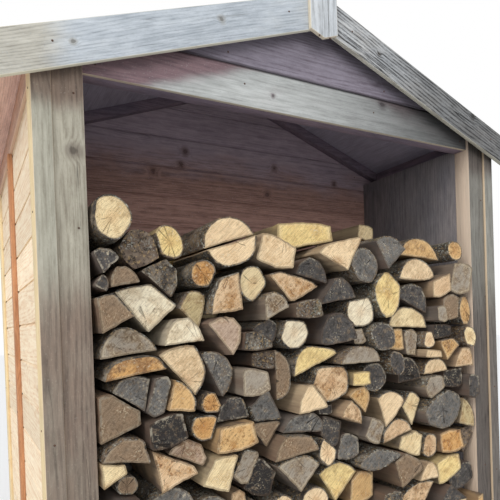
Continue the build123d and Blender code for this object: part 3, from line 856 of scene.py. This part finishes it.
def sawn_end_finish():
    """Rings, saw marks, splits and dirt on a sawn end, fresh where its colour is pale and old where dark."""
    finish = LogFinish("sawn_log_end")
    rings = finish.attribute("rings", "Vector")
    colour = finish.attribute("log_colour", "Color")
    outer = finish.attribute("outward")
    where = finish.vector("ADD", rings, finish.drift)
    flat = finish.vector("MULTIPLY", rings, (1, 1, 0))
    radius = finish.vector("LENGTH", flat, out="Value")
    above = finish.add("ShaderNodeSeparateXYZ", None, {0: rings}, out="Y")
    light = finish.add("ShaderNodeRGBToBW", None, {0: colour})
    age = light.between(0.40, 0.16)
    soil = ((finish.chance * 7.3).maths("FRACT") * 0.7 + 0.3) * (1 - 0.6 * light.between(0.68, 0.76))

    patch = finish.cloud(where, 22.0, 4.0, 0.6)
    blot = finish.cloud(where, 58.0, 4.0, 0.65)
    speck = finish.cloud(where, 150.0, 3.0, 0.68)
    fray = finish.cloud(where, 300.0, 3.0, 0.7)
    saw = finish.cloud(finish.place((330, 24, 24), (0, 0, 0.8), source=where), 1.0, 3.0, 0.6)
    ring = ((radius + patch * 0.012) * (tau / ring_width)).maths("SINE") * 0.5 + 0.5
    spoke = finish.vector("ADD", finish.vector("NORMALIZE", flat), finish.drift)
    ray = (finish.cloud(spoke, 1.1, 1.0, 0.4) - 0.5).maths("ABSOLUTE").between(0.012, 0.002)
    reach = finish.cloud(spoke, 0.7, 0.0, 0.5)
    check = ray * (reach * 0.16 - 0.04 - radius).between(0.0, 0.008) * (age * 0.4 + 0.55)

    rain = (above * 9.0 + (patch - 0.5) * 5.0 + (blot - 0.5) * 2.5).between(0.1, 1.1)
    fleck = speck.between(0.46, 0.36) * (patch.between(0.5, 0.62) * 0.55 + 0.08)
    # A pale line along the top of the rim of old ends: partly the pale bark edge, partly a painted highlight.
    pale_and_lit_rim = outer.between(0.9, 0.97) * blot.between(0.44, 0.56) * (above * 20.0).between(-0.3, 0.6)
    fresh = finish.over(
        colour,
        (patch.between(0.44, 0.62) * soil * 0.8, shade(212, 184, 142), "MULTIPLY"),
        (blot.between(0.53, 0.66) * soil * 0.8, shade(172, 146, 116), "MULTIPLY"),
        (rain * soil * 0.45, shade(132, 116, 96)),
        (radius.between(0.032, 0.004) * 0.3, shade(206, 160, 110), "MULTIPLY"),
        (outer.between(0.78, 0.95) * (1 - rain) * 0.3, shade(240, 222, 186)),
    )
    old = finish.over(
        finish.mix(patch.between(0.36, 0.64), finish.mix(0.4, colour, shade(40, 36, 34)), colour),
        (blot.between(0.52, 0.64) * 0.5, shade(142, 124, 102)),
        (blot.between(0.45, 0.36) * 0.6, shade(34, 31, 30)),
    )
    wood = finish.over(
        finish.mix(age, fresh, old),
        (ring * (patch * 0.36), shade(146, 108, 74), "MULTIPLY"),
        (saw.between(0.42, 0.66) * 0.34, shade(136, 112, 88), "MULTIPLY"),
        (speck.between(0.56, 0.66) * (soil * 0.5 + 0.1), shade(66, 54, 44)),
        (fleck, shade(214, 200, 172)),
        (fray.between(0.55, 0.7) * 0.25, shade(70, 58, 48)),
        (outer.between(0.93, 1.0) * 0.5, shade(78, 62, 48)),
        (pale_and_lit_rim * age * 0.55, shade(182, 174, 156)),
        (check, shade(28, 22, 18)),
    )
    finish.relief(ring * 0.2 + speck * 0.5 + fray * 0.2 + saw * 0.2 + blot * 0.6 - check * 2.0, 0.0014)
    return finish.done(wood)


print("rings on the ends are", ring_width, "m wide")

# %% Make the finishes of split faces and bark


def split_face_finish():
    """Long fibres on a split face, in a greyer tone of the log's own colour, darkened as painted shade."""
    finish = LogFinish("split_log_face")
    fibre = finish.grain(170, 5, 4.0, 0.65)
    streak = finish.grain(32, 2.5, 3.0, 0.6)
    patch = finish.grain(9, 6, 4.0, 0.6)
    wood = finish.over(
        finish.attribute("log_colour", "Color"),
        # The darker tone stands for the shade on split faces between the logs: painted shade.
        (0.45, shade(132, 111, 94)),
        (streak.between(0.35, 0.7) * 0.6, shade(114, 88, 74)),
        (patch.between(0.46, 0.64) * 0.65, shade(86, 82, 80)),
        (fibre * 0.4, shade(64, 55, 50)),
    )
    finish.relief(fibre * 0.5 + streak * 0.5, 0.0018)
    return finish.done(wood)


def bark_finish():
    """Dark bark with furrows, browner on some logs, and with crumbs, lichen and a little moss."""
    finish = LogFinish("log_bark", roughness=0.9)
    lump = finish.grain(26, 11, 5.0, 0.62)
    gap = finish.grain(75, 24, 5.0, 0.7, 0.4).between(0.47, 0.36)
    crumb = finish.grain(120, 90, 3.0, 0.7)
    moss = finish.grain(9, 6, 4.0, 0.6)
    bark_colour = finish.over(
        finish.mix(lump.between(0.35, 0.7), shade(60, 56, 54), shade(138, 127, 113)),
        (finish.chance.between(0.5, 0.9) * 0.45, shade(108, 86, 70)),
        # Near black in the furrows: the furrows' own dark bark with painted shade.
        (gap * 0.75, shade(28, 27, 29)),
        (crumb.between(0.54, 0.63) * 0.6, shade(176, 150, 108)),
        (crumb.between(0.46, 0.37) * moss.between(0.38, 0.56) * 0.85, shade(178, 178, 166)),
        (moss.between(0.6, 0.72) * 0.3, shade(96, 96, 70)),
    )
    finish.relief(lump * 0.5 - gap * 0.6 + crumb * 0.4, 0.003)
    return finish.done(bark_colour)


firewood_finishes = (split_face_finish(), bark_finish(), sawn_end_finish())
split, bark, sawn = range(3)
print("firewood finishes:", [finish.name for finish in firewood_finishes])

# %% [markdown]
# ## Colours of the logs
#
# No two ends have the same colour: fresh cuts are yellow or cream, older ones tan, and the oldest grey or
# nearly black. The logs that show best have a colour chosen from the photograph, each noted with the place
# of its log in centimetres from the left side of the bay and above the ground. The others take a colour by
# chance.

# %% List the colours
end_colours = {
    "white": shade(255, 244, 215),
    "cream": shade(254, 232, 184),
    "yellow": shade(252, 226, 159),
    "pale": shade(252, 225, 183),
    "tan": shade(231, 199, 159),
    "pink": shade(199, 175, 154),
    "ochre": shade(225, 186, 130),
    "orange": shade(222, 174, 112),
    "olive": shade(206, 188, 144),
    "brown": shade(161, 138, 113),
    "grey": shade(172, 162, 147),
    "slate": shade(127, 126, 123),
    "dark": shade(92, 90, 89),
    "black": shade(54, 52, 52),
    "crust": shade(98, 87, 76),
}
noted_colours = {
    "white": ((60, 113), (14, 120), (88, 120), (23, 115), (62, 128)),
    "cream": ((5, 144), (12, 120), (47, 128), (139, 109), (111, 117), (110, 86), (33, 74)),
    "yellow": ((22, 139), (70, 144), (99, 125), (69, 106), (76, 66), (85, 98), (127, 58)),
    "pale": (
        (39, 144), (39, 137), (54, 138), (80, 138), (25, 105), (63, 93), (70, 75), (100, 87), (33, 121),
        (116, 134),
    ),
    "tan": ((61, 127), (38, 126), (17, 78), (40, 66), (81, 86), (119, 71), (114, 55)),
    "pink": ((38, 114), (26, 81)),
    "ochre": ((39, 85), (86, 91), (139, 119), (127, 105), (134, 142), (118, 142)),
    "orange": ((30, 130), (30, 88), (42, 106), (10, 107), (128, 71)),
    "olive": ((28, 121), (137, 79), (65, 106)),
    "brown": ((8, 129), (4, 93), (58, 80), (104, 66), (131, 120), (58, 100)),
    "grey": ((9, 113), (52, 121), (45, 100), (60, 69), (86, 106), (120, 92), (90, 81), (135, 131)),
    "slate": ((90, 135), (100, 140), (36, 103), (57, 101), (125, 82), (10, 98), (51, 93), (20, 68)),
    "dark": (
        (2, 128), (69, 133), (78, 126), (113, 126), (51, 114), (75, 82), (139, 90), (40, 93), (95, 110),
    ),
    "black": ((18, 88), (48, 71), (125, 111), (111, 97), (133, 93), (109, 101)),
    "crust": ((13, 137), (19, 130), (65, 121), (51, 106), (46, 112), (139, 68), (98, 56)),
}
noted_places = [
    (Vector((x / 100, z / 100)), end_colours[name]) for name, spots in noted_colours.items() for x, z in spots
]
chance_names = ("pale", "tan", "grey", "slate", "dark", "brown", "cream", "ochre")
print("noted colours:", len(noted_places))

# %% Give each log its colour
half_bay = 0.714
near_enough = 0.062
bay_low, bay_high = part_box("log_course_01")
bay_left = (bay_low.x + bay_high.x) / 2 - half_bay
for_colour, for_pith, for_pattern, for_tilt_x, for_tilt_z = range(1, 6)


def chance_of(number, purpose):
    """A fixed number from 0 to 1 for a log and a purpose."""
    return abs(sin(12.9898 * number + 78.233 * purpose) * 43758.5453) % 1


def colour_of(middle, number):
    """The noted colour nearest to a log's middle, or one by chance."""
    place = Vector((middle.x - bay_left, middle.z))
    nearest = min(noted_places, key=lambda noted: (noted[0] - place).length)
    if (nearest[0] - place).length < near_enough:
        return nearest[1]
    return end_colours[chance_names[int(chance_of(number, for_colour) * len(chance_names))]]


print("the bay's left side is at", round(bay_left, 3), "m")

# %% [markdown]
# ## Logs from prisms
#
# In the model each log is a prism with flat sides, and its long edges tell what it is. Where several
# neighbouring edges are shallow, the sides there are the bark, and the middle of the circle that fits them
# best is the pith. The sharp edges are those that a split left.

# %% Find the logs of a node
long_edge = 0.1


def span(mesh, edge):
    """From one end of an edge to the other."""
    first, second = edge.vertices
    return mesh.vertices[first].co - mesh.vertices[second].co


def joined_points(mesh):
    """For each point one number that is the same for all points of the same log."""
    group = list(range(len(mesh.vertices)))

    def root(point):
        while group[point] != point:
            group[point] = group[group[point]]
            point = group[point]
        return point

    for edge in mesh.edges:
        group[root(edge.vertices[0])] = root(edge.vertices[1])
    return [root(point) for point in group]


def faces_by_edge(mesh):
    """The numbers of the faces beside each edge."""
    beside = {}
    for face in mesh.polygons:
        for key in face.edge_keys:
            beside.setdefault(key, []).append(face.index)
    return beside


def find_logs(mesh):
    """Each log's middle and its long edges in order round it, each as (index, angle, faces, middle)."""
    beside = faces_by_edge(mesh)
    log_at = joined_points(mesh)
    logs = {}
    for edge in mesh.edges:
        if abs(span(mesh, edge).y) > long_edge:
            first, second = (mesh.vertices[point].co for point in edge.vertices)
            pair = beside[edge.key]
            angle = mesh.polygons[pair[0]].normal.angle(mesh.polygons[pair[1]].normal)
            entry = (edge.index, angle, pair, (first + second) / 2)
            logs.setdefault(log_at[edge.vertices[0]], []).append(entry)
    for edges in logs.values():
        middle = sum((corner for *_, corner in edges), Vector()) / len(edges)
        edges.sort(key=lambda entry: np.arctan2(entry[3].z - middle.z, entry[3].x - middle.x))
        yield middle, edges


print("edges over", long_edge, "m run along a log")

# %% Find the bark and the pith
shallow = radians(40)
bark_run = 3
bark_points = 4
furthest_pith = 0.09
guessed_pith = 0.06


def bark_faces(edges):
    """Faces beside a run of at least bark_run shallow edges."""
    count = len(edges)
    is_shallow = [angle < shallow for _, angle, _, _ in edges]
    if all(is_shallow):
        return {face for _, _, pair, _ in edges for face in pair}
    found = set()
    start = is_shallow.index(False)
    run = []
    for step in range(1, count + 1):
        place = (start + step) % count
        if is_shallow[place]:
            run.append(place)
            continue
        if len(run) >= bark_run:
            found |= {face for index in run for face in edges[index][2]}
        run = []
    return found


def pith_of(middle, rounded, number):
    """Centre of the circle that fits the bark best, or a place beside a log that has too little bark."""
    if len(rounded) >= bark_points:
        points = np.array([(corner.x, corner.z) for corner in rounded])
        left = np.column_stack((2 * points, np.ones(len(points))))
        fit = np.linalg.lstsq(left, (points**2).sum(axis=1), rcond=None)[0]
        if (Vector(fit[:2]) - Vector((middle.x, middle.z))).length < furthest_pith:
            return Vector((fit[0], middle.y, fit[1]))
    turn = tau * chance_of(number, for_pith)
    return middle + Vector((cos(turn), 0, sin(turn))) * guessed_pith


print("edges below", round(shallow, 2), "radians are shallow")

# %% [markdown]
# ## From prism to firewood
#
# The shallow edges are bevelled until the bark is round, and the sharp ones get a small bevel, as a split
# edge has. Then the sides are divided round the log and along it, while each end becomes one face again
# and slivers are dissolved. The front end gets a narrow inset for the thickness of the bark, and its
# middle is joined to its rim.

# %% Choose edges or faces, and number the faces of the logs
end_facing = 0.9


def work_where(piece, kind, chosen, operator, **settings):
    """Select the edges or faces of a piece that are chosen and run one mesh operator on them."""
    work_on(piece)
    bpy.ops.object.mode_set(mode="EDIT")
    bpy.ops.mesh.select_mode(type=kind)
    bpy.ops.mesh.select_all(action="DESELECT")
    bpy.ops.object.mode_set(mode="OBJECT")
    for part in piece.data.edges if kind == "EDGE" else piece.data.polygons:
        part.select = chosen(part)
    bpy.ops.object.mode_set(mode="EDIT")
    operator(**settings)
    bpy.ops.object.mode_set(mode="OBJECT")


def number_faces(mesh, first_number):
    """Give each face its finish and its log's number, and find each log's middle and pith."""
    log_number = mesh.attributes.new("log_number", "INT", "FACE")
    logs = []
    log_at = {}
    for middle, edges in find_logs(mesh):
        number = len(logs)
        covered = bark_faces(edges)
        rounded = [corner for _, angle, pair, corner in edges if angle < shallow and set(pair) <= covered]
        for _, _, pair, _ in edges:
            for face in pair:
                mesh.polygons[face].material_index = bark if face in covered else split
                log_number.data[face].value = number
                log_at.update(dict.fromkeys(mesh.polygons[face].vertices, number))
        logs.append((middle, pith_of(middle, rounded, first_number + number)))
    for face in mesh.polygons:
        if abs(face.normal.y) > end_facing:
            face.material_index = sawn
            log_number.data[face.index].value = log_at[face.vertices[0]]
    return logs


print("faces beyond", end_facing, "along Y are sawn ends")

# %% Shape the logs
bark_share = 40
split_edge = 0.003
bark_thickness = 0.0035
side_cuts = ((0.040, 3), (0.016, 1))
level = 0.001
shortest_edge = 0.0016
side_facing = 0.5


def long_edges(mesh, is_sharp):
    """The numbers of the sharp long edges, or of the shallow ones."""
    edges = (edge for _, around in find_logs(mesh) for edge in around)
    return {index for index, angle, _, _ in edges if (angle > shallow) == is_sharp}


def round_edges(piece):
    """Bevel the shallow edges of the bark and then the sharp edges of the splits."""
    found = long_edges(piece.data, is_sharp=False)
    work_where(
        piece, "EDGE", lambda edge: edge.index in found,
        bpy.ops.mesh.bevel, offset_type="PERCENT", offset_pct=bark_share, segments=2, affect="EDGES",
    )
    found = long_edges(piece.data, is_sharp=True)
    work_where(
        piece, "EDGE", lambda edge: edge.index in found,
        bpy.ops.mesh.bevel, offset=split_edge, segments=1, affect="EDGES",
    )


def divide_sides(piece, lengthwise):
    """Divide the logs round and along, keep each end whole and dissolve slivers."""
    mesh = piece.data
    for length, cuts in side_cuts:
        work_where(
            piece, "EDGE", lambda edge: abs(span(mesh, edge).y) < level and span(mesh, edge).length > length,
            bpy.ops.mesh.subdivide, number_cuts=cuts,
        )
    work_where(
        piece, "EDGE", lambda edge: abs(span(mesh, edge).y) > long_edge,
        bpy.ops.mesh.subdivide, number_cuts=lengthwise,
    )
    beside = faces_by_edge(mesh)
    work_where(
        piece, "EDGE",
        lambda edge: all(abs(mesh.polygons[face].normal.y) > end_facing for face in beside[edge.key]),
        bpy.ops.mesh.dissolve_edges, use_verts=False,
    )
    work_where(piece, "FACE", lambda face: True, bpy.ops.mesh.dissolve_degenerate, threshold=shortest_edge)


def work_ends(piece):
    """Give the front ends a narrow rim, of bark where bark lies beside it, and join their middles to it."""
    mesh = piece.data
    work_where(
        piece, "FACE", lambda face: face.material_index == sawn and face.normal.y < -end_facing,
        bpy.ops.mesh.inset, thickness=bark_thickness, use_individual=True,
    )
    beside = faces_by_edge(mesh)
    for face in mesh.polygons:
        if face.material_index == sawn and len(face.vertices) == 4:
            others = [mesh.polygons[index] for key in face.edge_keys for index in beside[key]]
            if any(other.material_index == bark and abs(other.normal.y) < side_facing for other in others):
                face.material_index = bark
    work_where(
        piece, "FACE",
        lambda face: face.material_index == sawn and len(face.vertices) > 4 and face.normal.y < -end_facing,
        bpy.ops.mesh.poke,
    )


print("a split edge is", split_edge, "m wide")

# %% [markdown]
# ## Rough, askew and each its own
#
# The finishes read each log's facts from the mesh, so those are stored at its points. Then the points move
# a little by noise, always inwards, so that no log grows into the next one, and each front end is cut
# slightly askew.

# %% Store the facts of each log
grain_stretch = 0.3


def log_of_points(mesh):
    """For each point the number that most faces of its log carry."""
    numbers = mesh.attributes["log_number"].data
    log_at = joined_points(mesh)
    votes = {}
    for face in mesh.polygons:
        votes.setdefault(log_at[face.vertices[0]], []).append(numbers[face.index].value)
    winner = {group: max(set(found), key=found.count) for group, found in votes.items()}
    return [winner[group] for group in log_at]


def is_end_triangle(face):
    """True for the triangles that join the middle of a sawn end to its rim."""
    return face.material_index == sawn and len(face.vertices) == 3


def middles_of_ends(mesh):
    """True for each point that has only the triangles of a sawn end round it."""
    around = np.zeros(len(mesh.vertices), int)
    around_sawn = np.zeros(len(mesh.vertices), int)
    for face in mesh.polygons:
        corners = list(face.vertices)
        around[corners] += 1
        if is_end_triangle(face):
            around_sawn[corners] += 1
    return around == around_sawn


def store_facts(mesh, logs, owner, centres, first_number):
    """Store the place round the pith, the colour, the chance and the way outwards at each point."""
    kinds = {"rings": "FLOAT_VECTOR", "log_colour": "FLOAT_COLOR", "log_chance": "FLOAT", "outward": "FLOAT"}
    for name, kind in kinds.items():
        mesh.attributes.new(name, kind, "POINT")
    rings, colours, chances, outward = (mesh.attributes[name].data for name in kinds)
    for vertex, number, centre in zip(mesh.vertices, owner, centres):
        middle, pith = logs[number]
        seed = first_number + int(number)
        point = vertex.index
        rings[point].vector = (vertex.co.x - pith.x, vertex.co.z - pith.z, vertex.co.y * grain_stretch)
        colours[point].color = colour_of(middle, seed)
        chances[point].value = chance_of(seed, for_pattern)
        outward[point].value = 0.0 if centre else 1.0


print("facts can be stored")

# %% Roughen the logs
uneven_share = 0.075
uneven_round = 2.2
uneven_along = 9
step_between_logs = Vector((7.3, 0, 1.9))
chip_depth = 0.0045
chips_a_metre = 55
least_radius = 0.02
askew = 0.13
askew_depth = 0.05
log_smooth_angle = radians(38)


def roughen(mesh, logs, owner, centres, first_number):
    """Move the points of each log inwards by noise and cut its front end slightly askew."""
    tilts = [
        [askew * (2 * chance_of(first_number + n, purpose) - 1) for purpose in (for_tilt_x, for_tilt_z)]
        for n in range(len(logs))
    ]
    fronts = {}
    for vertex, number in zip(mesh.vertices, owner):
        fronts[number] = min(fronts.get(number, vertex.co.y), vertex.co.y)
    for vertex, number, centre in zip(mesh.vertices, owner, centres):
        middle = logs[number][0]
        out = Vector((vertex.co.x - middle.x, 0, vertex.co.z - middle.z))
        along = Vector((0, vertex.co.y * uneven_along, 0))
        place = out.normalized() * uneven_round + along + step_between_logs * float(number)
        chip = noise.noise(vertex.co * chips_a_metre) * 0.5 + 0.5
        chip_share = chip_depth * chip / max(out.length, least_radius)
        share = 0 if centre else uneven_share * (noise.noise(place) * 0.5 + 0.5) + chip_share
        fade = max(0.0, 1 - (vertex.co.y - fronts[number]) / askew_depth)
        lean = (tilts[number][0] * out.x + tilts[number][1] * out.z) * (1 - share)
        vertex.co += Vector((-out.x * share, fade * lean, -out.z * share))


def work_logs(node_name, lengthwise, first_number):
    """Make a node's logs round, rough and askew, and let the piece stand for the node."""
    piece = whole_copy(node_name, node_name + "_split_wood")
    mesh = piece.data
    for finish in firewood_finishes:
        mesh.materials.append(finish)
    logs = number_faces(mesh, first_number)
    round_edges(piece)
    divide_sides(piece, lengthwise)
    work_ends(piece)
    owner = log_of_points(mesh)
    centres = middles_of_ends(mesh)
    colours = [colour_of(middle, first_number + n) for n, (middle, _) in enumerate(logs)]
    for face in mesh.polygons:
        if is_end_triangle(face) and colours[owner[face.vertices[0]]] == end_colours["crust"]:
            face.material_index = bark
    store_facts(mesh, logs, owner, centres, first_number)
    roughen(mesh, logs, owner, centres, first_number)
    work_on(piece)
    bpy.ops.object.shade_smooth_by_angle(angle=log_smooth_angle)
    stand_for(piece, node_name, slot="firewood")
    return piece, len(logs)


cuts_along = {
    "log_course_01": 4,
    "log_course_02": 4,
    "log_course_03": 4,
    "log_course_04": 4,
    "log_course_05": 6,
    "rear_logs_lower": 2,
    "rear_logs_upper": 3,
}
log_total = 0
for node_name, lengthwise in cuts_along.items():
    piece, count = work_logs(node_name, lengthwise, log_total)
    log_total += count
    triangles = sum(len(face.vertices) - 2 for face in piece.data.polygons)
    print(node_name, "logs:", count, "triangles:", triangles)

# %% [markdown]
# ## Nails
#
# The boards are held by small wire nails, whose heads lie a little proud and have rusted dark. One head is
# a short disc with its rim bevelled into a dome. It is made once, and each nail is a copy with its own
# mesh, turned to face out of its board. All of them are then joined into one piece.

# %% Make one nail head and its rust
nail_radius = 0.0028
nail_rise = 0.0012
bpy.ops.object.select_all(action="DESELECT")
bpy.ops.mesh.primitive_cylinder_add(vertices=10, radius=nail_radius, depth=2 * nail_rise)
nail_head = bpy.context.object
work_where(
    nail_head, "EDGE", lambda edge: all(nail_head.data.vertices[point].co.z > 0 for point in edge.vertices),
    bpy.ops.mesh.bevel, offset=nail_rise * 0.8, segments=2, affect="EDGES",
)

rust = Finish("rusted_nail", roughness=0.7)
rust_spots = rust.cloud(rust.place((1, 1, 1)), 700.0, 3.0, 0.6)
nail_finish = rust.done(rust.mix(rust_spots.between(0.4, 0.65), shade(70, 62, 58), shade(112, 74, 52)))
nail_head.data.materials.append(nail_finish)
print("nail head faces:", len(nail_head.data.polygons))

# %% Find the places of the nails
to_front = Matrix.Rotation(radians(90), 4, "X")
to_rear = Matrix.Rotation(radians(-90), 4, "X")
barge_low, barge_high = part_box("bargeboard_front_left")
finial_low, finial_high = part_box("finials")
trim_low, trim_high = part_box("front_trims")
cover_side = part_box("joint_covers")[1].x
rear_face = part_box("rear_wall")[1].y
barge_half_width = 0.0505
barge_line = barge_high.z - barge_half_width / cos(radians(roof_pitch)) + 0.008
trim_line = trim_high.x - 0.022

# Distances from the middle of the store and heights. The nails of the bargeboards follow the slope, and those
# of the trims and covers stand above one another.
post_nails = ((-0.738, 1.741), (-0.737, 1.41), (0.779, 1.611), (0.788, 1.238), (-0.76, 0.6), (0.76, 0.584))
gable_nails = ((0.249, 1.864), (0.68, 1.828), (0.3, 1.945))
barge_nails = (0.12, 0.789)
trim_nails = (0.28, 0.56, 0.885, 1.42, 1.72)
highest_front_trim_nail = 1
wall_courses = 16
wall_top = 1.80
partition_start = 1.45

nails = [(x, post_front, height, to_front) for x, height in post_nails]
for x in (-0.02, 0.02):
    for below_top in (0.03, 0.15):
        nails.append((x, finial_low.y, finial_high.z - below_top, to_front))
        nails.append((x, finial_high.y, finial_high.z - below_top, to_rear))
for side in (-1, 1):
    to_side = Matrix.Rotation(radians(90 * side), 4, "Y")
    nails += [(side * x, gable_front, height, to_front) for x, height in gable_nails]
    for x in barge_nails:
        nails.append((side * x, barge_low.y, barge_line - x * roof_slope, to_front))
        nails.append((side * x, -barge_low.y, barge_line - x * roof_slope, to_rear))
    for height in trim_nails:
        if height < highest_front_trim_nail:
            nails.append((side * trim_line, trim_low.y, height, to_front))
            nails.append((side * trim_line, trim_high.y, height, to_rear))
        nails.append((side * cover_side, 0, height, to_side))
        nails += [(side * trim_high.x, y, height + 0.03, to_side) for y in (-0.603, 0.603)]
    for number in range(wall_courses):
        height = wall_base + course_height * (number + 0.5)
        if height < wall_top:
            nails.append((side * 0.775, rear_face, height, to_rear))
        nails.append((side * 0.012, rear_face, height + 0.01 * side, to_rear))
        if height > partition_start:
            nails.append((side * 0.66, partition_front, height + 0.022, to_front))
print("nails:", len(nails))

# %% Drive the nails
copies = []
for x, y, z, turn in nails:
    nail = nail_head.copy()
    nail.data = nail_head.data.copy()
    nail.data.transform(Matrix.Translation((x, y, z)) @ turn)
    bpy.context.scene.collection.objects.link(nail)
    copies.append(nail)
bpy.data.objects.remove(nail_head)
bpy.ops.object.select_all(action="DESELECT")
for nail in copies:
    nail.select_set(True)
board_nails = copies[0]
bpy.context.view_layer.objects.active = board_nails
bpy.ops.object.join()
board_nails.name = "board_nails"
bpy.ops.object.shade_smooth_by_angle(angle=radians(50))
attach(board_nails, "root")
print("faces of all nails:", len(board_nails.data.polygons))

# %% [markdown]
# ## Stage
#
# A plain pale floor catches the shadow of the store. It isn't part of the store.
# To the camera it is paler than to the light that bounces off it, so that it nearly meets the white
# background.

# %% Lay the floor
floor_grey = (0.8, 0.8, 0.8)
bpy.ops.object.select_all(action="DESELECT")
bpy.ops.mesh.primitive_plane_add(size=60, location=(0, 0, -0.001))
floor = bpy.context.object
floor.name = "floor"
bpy.ops.object.transform_apply(location=True)
floor_material = bpy.data.materials.new("pale_floor")
floor_material.use_nodes = True
ground = floor_material.node_tree
ground_shader = ground.nodes["Principled BSDF"]
ground_mix = ground.nodes.new("ShaderNodeMix")
ground_mix.data_type = "RGBA"
ground_mix.inputs[6].default_value = (*floor_grey, 1)
ground_mix.inputs[7].default_value = (*white, 1)
ground.links.new(seen_directly(ground), ground_mix.inputs[0])
ground.links.new(ground_mix.outputs[2], ground_shader.inputs["Base Color"])
ground_shader.inputs["Roughness"].default_value = 1.0
floor.data.materials.append(floor_material)
print("floor laid")
